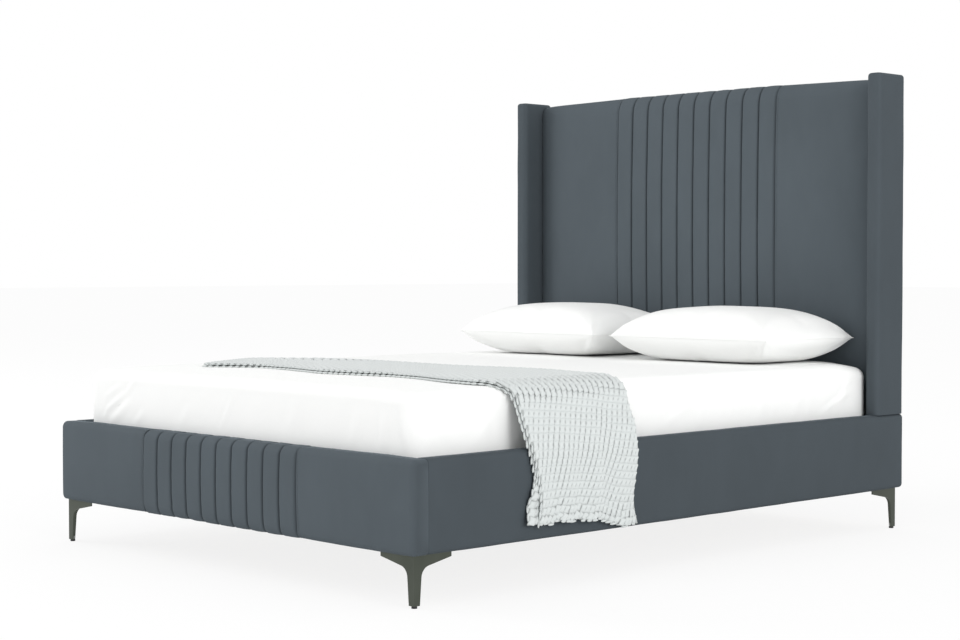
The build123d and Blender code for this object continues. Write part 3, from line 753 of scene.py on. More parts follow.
def evenly(points, normals, pitch):
    """Places at an even pitch along a line, with their normals and the line's direction."""
    travelled = run_along(points)
    wanted = np.arange(pitch / 2, travelled[-1], pitch)
    places = read_off(wanted, travelled, points)
    beyond = read_off(wanted + pitch / 4, travelled, points)
    return places, read_off(wanted, travelled, normals), beyond - places


def stitched(name, lines, material, length, pitch, radius=STITCH_RADIUS):
    """Rows of stitches along lines of (points, normals)."""
    rows = [evenly(points + normals * radius * 0.3, normals, pitch) for points, normals in lines]
    places, facing, along = (np.concatenate(part) for part in zip(*rows))
    holder = points_with(places, facing=facing, along=along, size=np.ones_like(places))
    return run_tree(name, holder, stitch_tree(), length=length, radius=radius, material=material)


# Upholstery
def quarter_round(distance, reach):
    """How far a quarter-round edge falls, as a share, at a distance from its seam."""
    return 1 - np.sqrt(1 - np.clip(1 - distance / reach, 0, 1) ** 2)


def bulged(flat, facing, low, high, most):
    """A section whose front swells towards the foot of the bed, most at mid-height between two levels."""
    share = np.clip((flat[:, 1] - low) / (high - low), 0, 1)
    swollen = flat.copy()
    swollen[:, 0] -= most * (1 - np.abs(2 * share - 1) ** 2.2) * np.clip(-facing[:, 0], 0, 1)
    return swollen


def eased(share):
    """A share from 0 to 1 that starts and stops gently."""
    share = np.clip(share, 0, 1)
    return share**2 * (3 - 2 * share)


def painted_shade(piece, strength):
    """Stores the painted shade at each point: darker in the seams, where the pile is pressed and shade falls,
    and on faces turned to the bed's sides.
    """
    # Painted shade on faces turned to the bed's sides, where less light falls
    side_shade = SIDE_PAINTED_SHADE * mesh_vectors(piece.data, "normal")[:, 0] ** 2
    attribute = piece.data.attributes.new("painted_shade", "FLOAT", "POINT")
    attribute.data.foreach_set("value", np.maximum(strength, side_shade).astype(np.float32))


def mesh_vectors(mesh, name):
    """The mesh's points or normals as rows of three."""
    vectors = np.empty(len(mesh.vertices) * 3)
    mesh.vertices.foreach_get(name, vectors)
    return vectors.reshape(-1, 3)


def channel_row(name, section, settings, material):
    """A row of sewn channels round a board: one channel's form, repeated by the row's tree."""
    pitch = 2 * PANEL_HALF / CHANNEL_COUNT
    half = pitch / 2
    marks = np.array(NEAR_CHANNEL)
    distances = np.concatenate([marks, [half], marks[::-1]])
    places = np.concatenate([marks - half, [0], half - marks[::-1]])
    flat, facing, weights, settle = section
    rings = []
    for place, distance in zip(places, distances):
        groove = settings.channel_groove * quarter_round(distance, settings.channel_shoulder)
        sunk = groove * weights + settle - 0.0008 * distance / half
        rings.append(stood_up(flat - facing * sunk[:, None], 0, place))
    form = skin("one channel", rings)
    row = run_tree(name, points_with([(0, 0, 0)]), row_tree(), channel=form, pitch=pitch, material=material)
    bpy.data.objects.remove(form)
    pull_seams(row, pitch)
    return row


def pull_seams(row, pitch):
    """Small puckers beside each seam, where the thread draws the cloth in, and painted shade in the seam."""
    mesh = row.data
    points = mesh_vectors(mesh, "co")
    normals = mesh_vectors(mesh, "normal")
    from_seam = np.abs((points[:, 0] / pitch + 0.5) % 1 - 0.5) * pitch
    off_seam = from_seam > 0.001
    nearness = bell(from_seam - 0.010, 0.009) * off_seam
    waves = ripples(points * (1, 2.5, 2.5), 0.06, 31) * 0.0005 + ripples(points, 0.3, 32) * 0.0004
    points += normals * (waves * nearness + ripples(points, 0.2, 33) * 0.0003 * off_seam)[:, None]
    mesh.vertices.foreach_set("co", points.ravel())
    mesh.update()
    mesh.set_sharp_from_angle(angle=math.radians(60))
    # Painted shade within 7 mm of each seam
    painted_shade(row, np.clip(1 - from_seam / 0.007, 0, 1))


def seam_weights(facing, fade):
    """How strongly the seams draw in: fully in front, less over the top, little underneath or behind."""
    turned = np.arctan2(np.abs(facing[:, 1]), -facing[:, 0]) / (math.pi / 2)
    return 1 - fade * np.clip(turned, 0, 1) ** 1.2


def foot_section(front, back, bottom, top, top_roll, bottom_roll):
    """The footboard's section: rolled over towards the foot, nearly sharp towards the mattress."""
    corners = rectangle((front, bottom), (back, top))
    return outline(corners, (bottom_roll, SHARP_ROUND, SHARP_ROUND, top_roll), (4, 10, 5, 16), (7, 2, 2, 8))


def footboard_channels(settings, material):
    """The footboard's channels, which wrap over its top and bottom edges and flatten behind."""
    low, high = FOOT_ROW_LOW, FOOT_ROW_HIGH
    bottom, top = low[2] + 0.003, high[2] - 0.002
    flat, facing, _ = foot_section(low[1], FOOT_HIGH[1], bottom, top, FOOT_ROW_TOP_ROLL, FOOT_ROW_BOTTOM_ROLL)
    settle = 0.0015 * np.clip(facing[:, 1], 0, 1)
    flat = bulged(flat, facing, bottom, top, FOOT_BULGE)
    section = flat, facing, seam_weights(facing, 0.7), settle
    return channel_row("footboard_channels_velvet", section, settings, material)


def seam_dip(distance):
    """How far a plain field sinks into its seam and under its row of top stitches."""
    return SEAM_DEPTH * quarter_round(distance, 0.004) + 0.0009 * bell(distance - TOP_STITCH_GAP, 0.002)


def plain_field(board, side, low, rings):
    """A plain field's cover, put on its side of the board, with painted shade at its seam."""
    rings = np.array(rings)
    # Painted shade within 3 mm of the seam
    painted_shading = np.clip(1 - (rings[:, :, 0].ravel() - low[0]) / 0.003, 0, 1)
    rings[:, :, 0] *= TURNS[side]
    piece = skin(f"{board}_field_{side}_velvet", rings)
    painted_shade(piece, painted_shading)
    return piece


def rounded_in(past, radius):
    """How far a rounded corner has drawn in at a depth past where it begins."""
    past = np.clip(past, 0, radius)
    return radius - math.sqrt(radius**2 - past**2)


def footboard_field(side, settings):
    """A plain field of the footboard: from the channels' seam round the bed's corner to the side rail."""
    low, high = FOOT_LOW, FOOT_HIGH

    def ring(x, inset, beyond=0.0):
        front = rounded_in(FOOT_CORNER_ROUND - (high[0] - x), FOOT_CORNER_ROUND)
        rim = rounded_in(RAIL_ROUND - (high[0] - x), RAIL_ROUND)
        kept = max(0.05, math.sqrt(1 - (front / FOOT_CORNER_ROUND) ** 2)) * (1 - inset / RAIL_ROUND)
        flat, facing, _ = foot_section(
            low[1] + front + inset, high[1] - inset, low[2] + rim + inset, high[2] - rim - inset,
            np.multiply(FOOT_TOP_ROLL, kept), np.multiply(FOOT_BOTTOM_ROLL, kept),
        )
        outwards = np.clip((x - low[0]) / (high[0] - low[0]), 0, 1)
        flat = bulged(flat, facing, low[2], high[2], FOOT_BULGE * (1 - outwards**3))
        flat = flat - facing * (beyond * np.clip(1 - facing[:, 0], 0, 1))[:, None]
        return section_at(flat, facing, 0, x)

    rings = [ring(low[0], RAIL_PADDING)[0] for _ in range(2)]
    rings[0][:, 0] = high[0] - RAIL_PADDING
    places = [low[0] + d for d in NEAR_SEAM]
    places += list(np.arange(low[0] + 0.03, high[0] - FOOT_CORNER_ROUND - 0.01, FIELD_STEP))
    places += [high[0] - FOOT_CORNER_ROUND * (1 - math.cos(a)) for a in np.linspace(math.pi / 2, 0.06, 13)]
    for x in places:
        points, normals = ring(x, 0, seam_dip(x - low[0]))
        points = plump(points, normals, low, high, settings.field_crown * 1.6)
        rings.append(points + normals * padding_drift(points, 11))
    return plain_field("footboard", side, low, rings)


def stitch_lines(flat, facing):
    """Top stitches along a section, beside both ends of the channels."""
    return [section_at(flat, facing, 0, turn * (PANEL_HALF + TOP_STITCH_GAP)) for turn in (-1, 1)]


def foot_stitch_lines():
    """The lines of the top stitches on the footboard."""
    low, high = FOOT_LOW, FOOT_HIGH
    flat, facing, owners = foot_section(low[1], high[1], low[2], high[2], FOOT_TOP_ROLL, FOOT_BOTTOM_ROLL)
    flat = bulged(flat, facing, low[2], high[2], FOOT_BULGE)
    front = [np.nonzero(owners == corner)[0] for corner in (2, 3, 0)]
    kept = np.concatenate([front[0][-5:], *front[1:]])
    return stitch_lines(flat[kept], facing[kept])


def head_section(front, top, roll, back_round, bulge=HEAD_BULGE):
    """The headboard's section round its board: down its swollen front, over the top, down the back flap."""
    board, flap, back = BOARD_LOW[1], HEAD_HIGH[1] - HEAD_FLAP, HEAD_HIGH[1]
    foot, frame_top = HEAD_LOW[2], BOARD_HIGH[2]
    corners = [
        (front, foot), (board, foot), (board, frame_top), (flap, frame_top),
        (flap, FLAP_EDGE), (back, FLAP_EDGE), (back, top), (front, top),
    ]
    reaches = (0.004, *(TINY_ROUND,) * 5, back_round, roll)
    flat, facing, owners = outline(corners, reaches, (1, 3, 1, 1, 0, 1, 2, 50), (3, 1, 1, 1, 1, 1, 8, 14))
    return bulged(flat, facing, SHEET_HIGH[2] + 0.01, top, bulge), facing, owners


def head_weights(facing, owners):
    """How strongly the headboard's seams draw in, which is not at all against the board."""
    return np.where(np.isin(owners, (0, 5, 6, 7)), seam_weights(facing, 0.8), 0.0)


def headboard_channels(settings, material):
    """The headboard's channels, from the slats up over its rolled top edge."""
    back_round = HEAD_BACK_ROUND + CHANNEL_PROUD
    flat, facing, owners = head_section(HEAD_ROW_LOW[1], HEAD_ROW_HIGH[2] - 0.003, HEAD_ROW_ROLL, back_round)
    section = flat, facing, head_weights(facing, owners), np.zeros(len(flat))
    return channel_row("headboard_channels_velvet", section, settings, material)


def head_front(x):
    """Where a plain field's front lies: flat, then drawn in towards the wing."""
    bend = (HEAD_DRAW_IN_WIDTH**2 + HEAD_DRAW_IN**2) / (2 * HEAD_DRAW_IN)
    past = max(0.0, x - (HEAD_HIGH[0] - HEAD_DRAW_IN_WIDTH))
    return HEAD_LOW[1] + bend - math.sqrt(bend**2 - past**2)


def headboard_field(side, settings):
    """A plain field of the headboard, between its channels and a wing."""
    low, high = HEAD_LOW, HEAD_HIGH
    end_round = HEAD_END_ROUND
    places = [(low[0] + d, 0.0) for d in NEAR_SEAM]
    places += [(x, 0.0) for x in np.arange(low[0] + 0.03, high[0] - end_round - 0.005, FIELD_STEP)]
    places += [(high[0] - d, inset) for d, inset in reversed(rolled(end_round, end_round, 4))]
    rings = []
    for x, inset in places:
        outwards = (x - low[0]) / (high[0] - low[0])
        top = high[2] - HEAD_SIDE_DROP * outwards
        roll = np.array(HEAD_ROLL) + np.subtract(HEAD_ROLL_AT_WING, HEAD_ROLL) * outwards**2
        bulge = HEAD_BULGE * (1 - outwards**2)
        flat, facing, owners = head_section(head_front(x), top, roll, HEAD_BACK_ROUND, bulge)
        weights = head_weights(facing, owners)
        flat = flat - facing * ((seam_dip(x - low[0]) + inset) * weights)[:, None]
        points, normals = section_at(flat, facing, 0, x)
        crown = settings.field_crown * (1 - (2 * outwards - 1) ** 4)
        drift = crown + swells(points, (0.3, 21, 0.0006), (0.08, 22, 0.00015))
        rings.append(points + normals * (drift * weights)[:, None])
    return plain_field("headboard", side, low, rings)


def head_stitch_lines():
    """The lines of the top stitches on the headboard."""
    flat, facing, owners = head_section(HEAD_LOW[1], HEAD_HIGH[2], HEAD_ROLL, HEAD_BACK_ROUND)
    kept = owners >= 6
    return stitch_lines(flat[kept], facing[kept])


def thicken(piece, thickness, offset=-1):
    """Gives a sheet of cloth its thickness."""
    modifier = piece.modifiers.new("Cloth", "SOLIDIFY")
    modifier.thickness = thickness
    modifier.offset = offset
    return piece


def back_lining():
    """The black lining behind the headboard, a little slack between its staples."""
    low, high = LINING_LOW, LINING_HIGH
    columns, rows = 60, 50
    x, z = np.meshgrid(np.linspace(low[0], high[0], columns), np.linspace(low[2], high[2], rows))
    places = np.stack([x, np.zeros_like(x), z], axis=-1).reshape(-1, 3)
    shares = (places - low) / (high - low)
    middle = np.sin(np.pi * shares[:, 0]) * np.sin(np.pi * shares[:, 2])
    slack = 0.0011 + ripples(places, 0.25, 41) * 0.0008 + ripples(places * (1, 1, 0.3), 0.09, 42) * 0.0004
    places[:, 1] = high[1] + np.maximum(slack, 0) * np.sqrt(middle)
    faces = quads(numbered(rows, columns))[:, ::-1]
    return thicken(new_piece("headboard_lining_cloth", places, faces.tolist()), LINING_CLOTH)


def lining_staples(material):
    """Staples round the lining's border."""
    inset = 0.009
    corners = rectangle(LINING_LOW[[0, 2]] + inset, LINING_HIGH[[0, 2]] - inset)
    flat, _, _ = outline(corners, (0.01,) * 4, (1,) * 4, (2,) * 4)
    line = stood_up(np.concatenate([flat, flat[:1]]), 1, LINING_HIGH[1] + 0.0002)
    back = np.tile([0.0, 1.0, 0.0], (len(line), 1))
    return stitched("lining_staples", [(line, back)], material, length=0.010, pitch=0.045, radius=0.0007)


def slat_straps():
    """The two straps that space the slats: flat under each slat, slack between them."""
    low, high = STRAP_LOW, STRAP_HIGH
    along = np.linspace(low[1], high[1], 260)
    pitch = (SLATS_HIGH[1] - SLATS_LOW[1] - SLAT_WIDTH) / SLAT_GAPS
    from_slat = np.abs(((along - SLATS_LOW[1] - SLAT_WIDTH / 2) / pitch + 0.5) % 1 - 0.5) * pitch
    sag = 0.003 * np.clip((from_slat - 0.033) / (pitch / 2 - 0.033), 0, 1) ** 0.7
    pieces = []
    for turn in (-1, 1):
        centre = turn * (high[0] - STRAP_WIDTH / 2)
        rings = []
        for y, drop in zip(along, sag):
            edges = centre - STRAP_WIDTH / 2, centre + STRAP_WIDTH / 2
            corners = rectangle((edges[0], low[2] - drop), (edges[1], high[2] - drop))
            flat, _, _ = outline(corners, (0.0006,) * 4, (2, 0, 2, 0), (2,) * 4)
            rings.append(stood_up(flat, 1, y))
        pieces.append(skin("strap", rings))
    return joined("slat_straps", pieces)


def joined(name, pieces):
    """Several pieces made one."""
    with bpy.context.temp_override(active_object=pieces[0], selected_editable_objects=pieces):
        bpy.ops.object.join()
    pieces[0].name = name
    pieces[0].data.name = name
    return pieces[0]


# Bedding
def crease(points, normals, start, end, width, height):
    """A pulled fold from start to end: a ridge with a hollow beside it that fades at both ends."""
    start, end = np.array(start), np.array(end)
    run = end - start
    share = np.clip((points - start) @ run / (run @ run), 0, 1)
    away = points - (start + share[:, None] * run)
    side = np.sign(np.einsum("ij,ij->i", np.cross(run, normals), away))
    distance = np.linalg.norm(away, axis=1) * side
    ridge = bell(distance, width) - 0.6 * bell(distance - 1.5 * width, width)
    return height * ridge * np.sin(np.pi * share) ** 0.8


# Where the mattress's corners are and how far they fall, in metres
CORNER_FALLS = (
    (MATTRESS_HIGH[0], MATTRESS_HIGH[1], 0.018),
    (MATTRESS_HIGH[0], MATTRESS_LOW[1], 0.006),
    (MATTRESS_LOW[0], MATTRESS_LOW[1], 0.008),
    (MATTRESS_LOW[0], MATTRESS_HIGH[1], 0.006),
)
# Pulled folds in the fitted sheet: across and height where they start and end, width and height, in metres
FOOT_FOLDS = (
    (-0.480, 0.522, -0.540, 0.466, 0.008, 0.0030),
    (-0.530, 0.476, -0.650, 0.416, 0.009, 0.0032),
    (-0.620, 0.440, -0.662, 0.388, 0.006, 0.0024),
    (-0.505, 0.455, -0.630, 0.372, 0.014, 0.0036),
    (-0.560, 0.500, -0.660, 0.455, 0.007, 0.0018),
    (-0.430, 0.430, -0.500, 0.372, 0.012, 0.0020),
    (0.018, 0.512, -0.065, 0.376, 0.007, 0.0020),
    (-0.200, 0.460, -0.250, 0.390, 0.016, 0.0016),
    (0.300, 0.520, 0.265, 0.390, 0.020, 0.0014),
    (0.560, 0.500, 0.520, 0.376, 0.018, 0.0018),
    (0.660, 0.530, 0.648, 0.376, 0.012, 0.0026),
    (0.705, 0.520, 0.735, 0.372, 0.009, 0.0020),
)
RIGHT_FOLDS = (
    (0.160, 0.505, -0.060, 0.385, 0.013, 0.0018),
    (0.430, 0.505, 0.400, 0.385, 0.016, 0.0016),
    (0.640, 0.520, 0.560, 0.382, 0.020, 0.0018),
    (0.880, 0.520, 0.800, 0.400, 0.012, 0.0024),
    (0.900, 0.470, 0.700, 0.384, 0.010, 0.0024),
    (-0.700, 0.520, -0.800, 0.385, 0.020, 0.0018),
    (-0.620, 0.500, -0.645, 0.380, 0.008, 0.0026),
    (-0.930, 0.500, -0.880, 0.385, 0.014, 0.0022),
)


def mattress_rings(low, high, corner, profile, runs):
    """Level loops round the mattress, one for each (inset, height) of its profile."""
    loops = []
    for inset, level in profile:
        corners = rectangle(low[:2] + inset, high[:2] - inset)
        radius = max(corner - inset, 0.004)
        flat, facing, _ = outline(corners, (radius,) * 4, runs, (10,) * 4)
        loops.append(section_at(flat, facing, 2, level))
    return np.array(loops).swapaxes(0, 1)


def wall_profile(low, high, edge, roll, levels, under, over):
    """(inset, height) from underneath, round the bottom edge, up the wall, round the top edge and inwards."""
    profile = [(inset, low) for inset in under]
    profile += [(inset, low + rise) for rise, inset in rolled(edge, edge, 6)]
    profile += [(0, level) for level in np.linspace(low + edge, high - roll[1], levels + 2)[1:-1]]
    profile += [(inset, high - drop) for inset, drop in rolled(*roll, 6)]
    return profile + [(inset, high) for inset in over]


def profile_normals(rings, facings):
    """Outward directions across the loops, leaning up or down where the profile turns."""
    slope = np.gradient(rings, axis=0)
    rise = slope[:, :, 2]
    inward = -np.einsum("ijk,ijk->ij", slope, facings)
    normals = facings * rise[..., None]
    normals[:, :, 2] = inward
    return unit(normals)


def mattress_pad():
    """The mattress under its sheet."""
    low, high = PAD_LOW, PAD_HIGH
    under = (0.70, 0.40, 0.15, 0.05, 0.025)
    over = under[::-1][1:] + (0.73,)
    profile = wall_profile(low[2], high[2], MATTRESS_EDGE, MATTRESS_TOP_ROLL, 24, under, over)
    rings, facings = mattress_rings(low, high, MATTRESS_CORNER, profile, (30, 40, 30, 40))
    normals = profile_normals(rings, facings).reshape(-1, 3)
    points = rings.reshape(-1, 3)
    middle = (low[2] + high[2]) / 2
    band = 1 - ((points[:, 2] - middle) / (middle - low[2])) ** 4
    points = points + normals * (0.002 * band * (np.abs(normals[:, 2]) < 0.5))[:, None]
    return skin("mattress_pad", drooped(points).reshape(rings.shape))


def drooped(points):
    """The mattress's top corners give a little, the one at the right of the head the most."""
    points = points.copy()
    near_top = eased((points[:, 2] - MATTRESS_HIGH[2] + 0.16) / 0.14)
    for x, y, fall in CORNER_FALLS:
        distance = np.hypot(points[:, 0] - x, points[:, 1] - y)
        points[:, 2] -= fall * bell(distance, 0.11) * near_top
    return points


def corded(places, facings, width, height, count):
    """The loops of a cord along a line: an oval round each place, across its facing."""
    angles = np.linspace(0, 2 * math.pi, count + 1)[:-1]
    return [
        [place + facing * width * math.cos(a) + np.array([0, 0, height * math.sin(a)]) for a in angles]
        for place, facing in zip(places, facings)
    ]


def mattress_piping():
    """Two corded edges round the mattress."""
    corners = rectangle(PAD_LOW[:2], PAD_HIGH[:2])
    flat, facing, _ = outline(corners, (MATTRESS_CORNER,) * 4, (20, 26, 20, 26), (10,) * 4)
    out = stood_up(facing, 2, 0)
    cords = []
    for level in (PAD_LOW[2] + PIPING_RISE, PAD_HIGH[2] - PIPING_DROP):
        places = drooped(stood_up(flat, 2, level)) + out * 0.0002
        cords.append(skin("piping", corded(places, out, PIPING_RADIUS, PIPING_RADIUS, 8), looped=True))
    return joined("mattress_piping", cords)


def hidden_folds(low, high):
    """Pulled folds along the sheet's sides and head end, drawn at random: start, end, width and height."""
    draw = np.random.default_rng(7)
    along_side = np.arange(low[1] + 0.12, high[1] - 0.05, 0.17)
    sides = [(x, y, 0.07, 0.0012) for x in (low[0], high[0]) for y in along_side]
    ends = [(x, high[1], 0.06, 0.0014) for x in np.arange(low[0] + 0.15, high[0] - 0.1, 0.19)]
    folds = []
    for x, y, reach, height in sides + ends:
        along = 0 if y == high[1] else 1
        start = np.array([x, y, 0.0])
        start[along] += draw.uniform(-0.03, 0.03)
        start[2] = draw.uniform(0.44, 0.51)
        end = start.copy()
        end[along] += draw.uniform(-reach, reach)
        end[2] = draw.uniform(0.33, 0.40)
        folds.append((start, end, draw.uniform(0.010, 0.018), height))
    return folds


def fitted_sheet(settings):
    """The fitted sheet: smooth on top, pulled into folds at its corners, its edge drawn in underneath."""
    low, high = SHEET_LOW, SHEET_HIGH
    under = (0.068, 0.05, 0.034, 0.022)
    over = (0.042, 0.050, 0.062, 0.085, 0.12, *np.linspace(0.17, 0.65, 9), 0.70, 0.735)
    roll = np.array(MATTRESS_TOP_ROLL) + 0.0015
    profile = wall_profile(low[2], high[2], SHEET_EDGE, roll, 32, under, over)
    rings, facings = mattress_rings(low, high, SHEET_CORNER, profile, (130, 180, 130, 180))
    normals = profile_normals(rings, facings).reshape(-1, 3)
    points = rings.reshape(-1, 3)
    on_wall = np.clip(1 - np.abs(normals[:, 2]), 0, 1)
    top = np.clip(normals[:, 2], 0, 1)
    folds = [((x, low[1], z), (x2, low[1], z2), *size) for x, z, x2, z2, *size in FOOT_FOLDS]
    folds += [((high[0], y, z), (high[0], y2, z2), *size) for y, z, y2, z2, *size in RIGHT_FOLDS]
    rise = np.zeros(len(points))
    for start, end, width, height in folds + hidden_folds(low, high):
        rise += crease(points, normals, start, end, width, height * settings.fold_height)
    rise += on_wall * (ripples(points * (1, 1, 0.45), 0.11, 51) * 0.0007 + ripples(points, 0.5, 52) * 0.0006)
    rise += top * (swells(points, (0.55, 53, 0.0008), (0.12, 54, 0.00025)) - 0.0006)
    # The mattress's piping shows through as a fine ridge, and the corner seams run down from it
    rise += 0.0008 * bell(points[:, 2] - (high[2] - PIPING_DROP), 0.004) * on_wall
    for x_seam in SHEET_SEAMS:
        rise += 0.0012 * bell(points[:, 0] - x_seam, 0.0022) * (points[:, 1] < low[1] + 0.04) * on_wall
    shaped = drooped(points + normals * rise[:, None]).reshape(rings.shape)
    # Underneath, the elastic gathers the edge
    turns = np.arange(rings.shape[1]) * 2 * math.pi
    gather = np.sin(turns / 6) * 0.002 + np.sin(turns / 17) * 0.001
    for row, share in enumerate((1.0, 0.8, 0.5, 0.2)):
        shaped[row] += facings[row] * (gather * share)[:, None] * 3
        shaped[row, :, 2] -= np.abs(gather) * share * 0.1
    return thicken(skin("fitted_sheet_cotton", shaped, closed=False, sharp_angle=180), SHEET_CLOTH)


def pillow_blank(half, rise, drop):
    """Two panels sewn together at their edges: domed, with their sides drawn in between the corners."""
    turns = [np.sin(np.linspace(-math.pi / 2, math.pi / 2, count)) for count in PILLOW_GRID]
    along, across = np.meshgrid(*turns, indexing="ij")
    fill = np.sqrt((1 - np.abs(along) ** 3) * (1 - np.abs(across) ** 3))
    inside = fill > 1e-6
    x = along * half[0] * (1 - 0.045 * (1 - across**2))
    y = across * half[1] * (1 - 0.055 * (1 - along**2))
    top = np.stack([x, y, fill * rise], axis=-1)
    bottom = np.stack([x, y, -fill * drop], axis=-1)[inside]
    index_top = numbered(*PILLOW_GRID)
    index_low = index_top.copy()
    index_low[inside] = index_top.size + np.arange(inside.sum())
    faces = quads(index_top)[:, [0, 3, 2, 1]].tolist() + quads(index_low)[:, [1, 2, 3, 0]].tolist()
    return np.concatenate([top.reshape(-1, 3), bottom]), faces


def simulate(piece, pressure, frames):
    """Fills a closed cloth case with pressure, and keeps the shape that it takes."""
    modifier = piece.modifiers.new("Filling", "CLOTH")
    for name, value in CASE_CLOTH.items():
        setattr(modifier.settings, name, value)
    modifier.settings.use_pressure = True
    modifier.settings.uniform_pressure_force = pressure
    modifier.settings.effector_weights.gravity = 0
    modifier.collision_settings.use_collision = False
    modifier.point_cache.frame_start = 1
    modifier.point_cache.frame_end = frames
    scene = bpy.context.scene
    for step in range(1, frames + 1):
        scene.frame_set(step)
    evaluated = piece.evaluated_get(bpy.context.evaluated_depsgraph_get())
    points = mesh_vectors(evaluated.data, "co")
    piece.modifiers.clear()
    scene.frame_set(1)
    return points


def pillow(side, settings):
    """A filled pillow: its case blown up from a part-filled one, then laid on the bed."""
    low, high = node_box(f"pillow_{side}")
    middle, half = (low + high) / 2, (high - low) / 2
    seam = low[2] + PILLOW_SEAM
    points, faces = pillow_blank(half, high[2] - seam, PILLOW_DEPTH)
    piece = new_piece(f"pillow_{side}_case", points, faces, 180)
    moved = simulate(piece, settings.pillow_pressure, settings.pillow_frames) - points
    reach = np.linalg.norm(moved, axis=1, keepdims=True)
    points = points + moved * np.minimum(1, FILL_REACH / np.maximum(reach, 1e-9))
    for axis in (0, 1):
        points[:, axis] *= half[axis] / np.abs(points[:, axis]).max()
    points[:, 2] *= (high[2] - seam) / points[:, 2].max()
    # Folds run in from the corners, and a few wide creases cross the top
    offset = 2.0 if side == "left" else 0.0
    from_corner = half[:2] - np.abs(points[:, :2])
    spread = np.arctan2(from_corner[:, 1], from_corner[:, 0])
    distance = np.hypot(*from_corner.T)
    folds = np.sin(spread * 15 + offset + ripples(points, 0.2, 63)) * bell(distance, 0.11) * 0.0022
    thick = np.clip(np.abs(points[:, 2]) / 0.03, 0, 1)
    points[:, 2] += (folds + ripples(points + offset, 0.2, 61) * 0.0012) * thick
    placed = points + (middle[0], middle[1], seam)
    # The bed flattens it underneath
    floor, soft = low[2] + 0.0004, 0.010
    lift = placed[:, 2] - floor
    placed[:, 2] = floor + np.where(lift < soft, soft * np.exp(np.minimum(lift, soft) / soft - 1), lift)
    piece.data.vertices.foreach_set("co", placed.ravel())
    piece.data.update()
    smoother = piece.modifiers.new("Soft", "SUBSURF")
    smoother.levels = 1
    smoother.render_levels = 1
    return piece


def pillow_seam(side, case):
    """The piped seam round a pillow case."""
    index = numbered(*PILLOW_GRID)
    rim = np.concatenate([index[:-1, 0], index[-1, :-1], index[:0:-1, -1], index[0, :0:-1]])
    points = mesh_vectors(case.data, "co")[rim]
    middle = points.mean(axis=0)
    points = (2 * points + np.roll(points, 1, axis=0) + np.roll(points, -1, axis=0)) / 4
    out = points - middle
    out[:, 2] = 0
    loops = corded(points, unit(out), *PILLOW_PIPING, 6)
    return skin(f"pillow_{side}_seam", loops, looped=True, sharp_angle=180)


def throw_line(spacing):
    """The line that the throw follows from its left end to its hem: distances, (x, z) places, outwards."""
    base = SHEET_HIGH[2] + 0.0004
    drop_x = RAIL_HIGH[0] + 0.003
    edge_x = MATTRESS_HIGH[0] + 0.0015
    bottom = THROW_LOW[2] - 0.03
    corners = [
        (drop_x, bottom),
        (drop_x, RAIL_HIGH[2] + 0.015),
        (edge_x, base),
        (THROW_LOW[0], base),
        (THROW_LOW[0], bottom),
    ]
    reaches = (TINY_ROUND, 0.035, (0.034, 0.052), TINY_ROUND, TINY_ROUND)
    flat, facing, owners = outline(corners, reaches, (4,) * 5, (1, 8, 12, 1, 1))
    first = np.nonzero(owners == 0)[0][1]
    last = np.nonzero(owners == 3)[0][0]
    flat, facing = flat[first : last + 1][::-1], facing[first : last + 1][::-1]
    travelled = run_along(flat)
    wanted = np.linspace(0, travelled[-1], int(travelled[-1] / spacing) + 1)
    return wanted, read_off(wanted, travelled, flat), unit(read_off(wanted, travelled, facing))


def smoothly(wanted, knots, values):
    """Values between knots without kinks, averaged over a short reach."""
    reach = np.linspace(-0.02, 0.02, 7)
    return np.mean([np.interp(wanted + shift, knots, values) for shift in reach], axis=0)


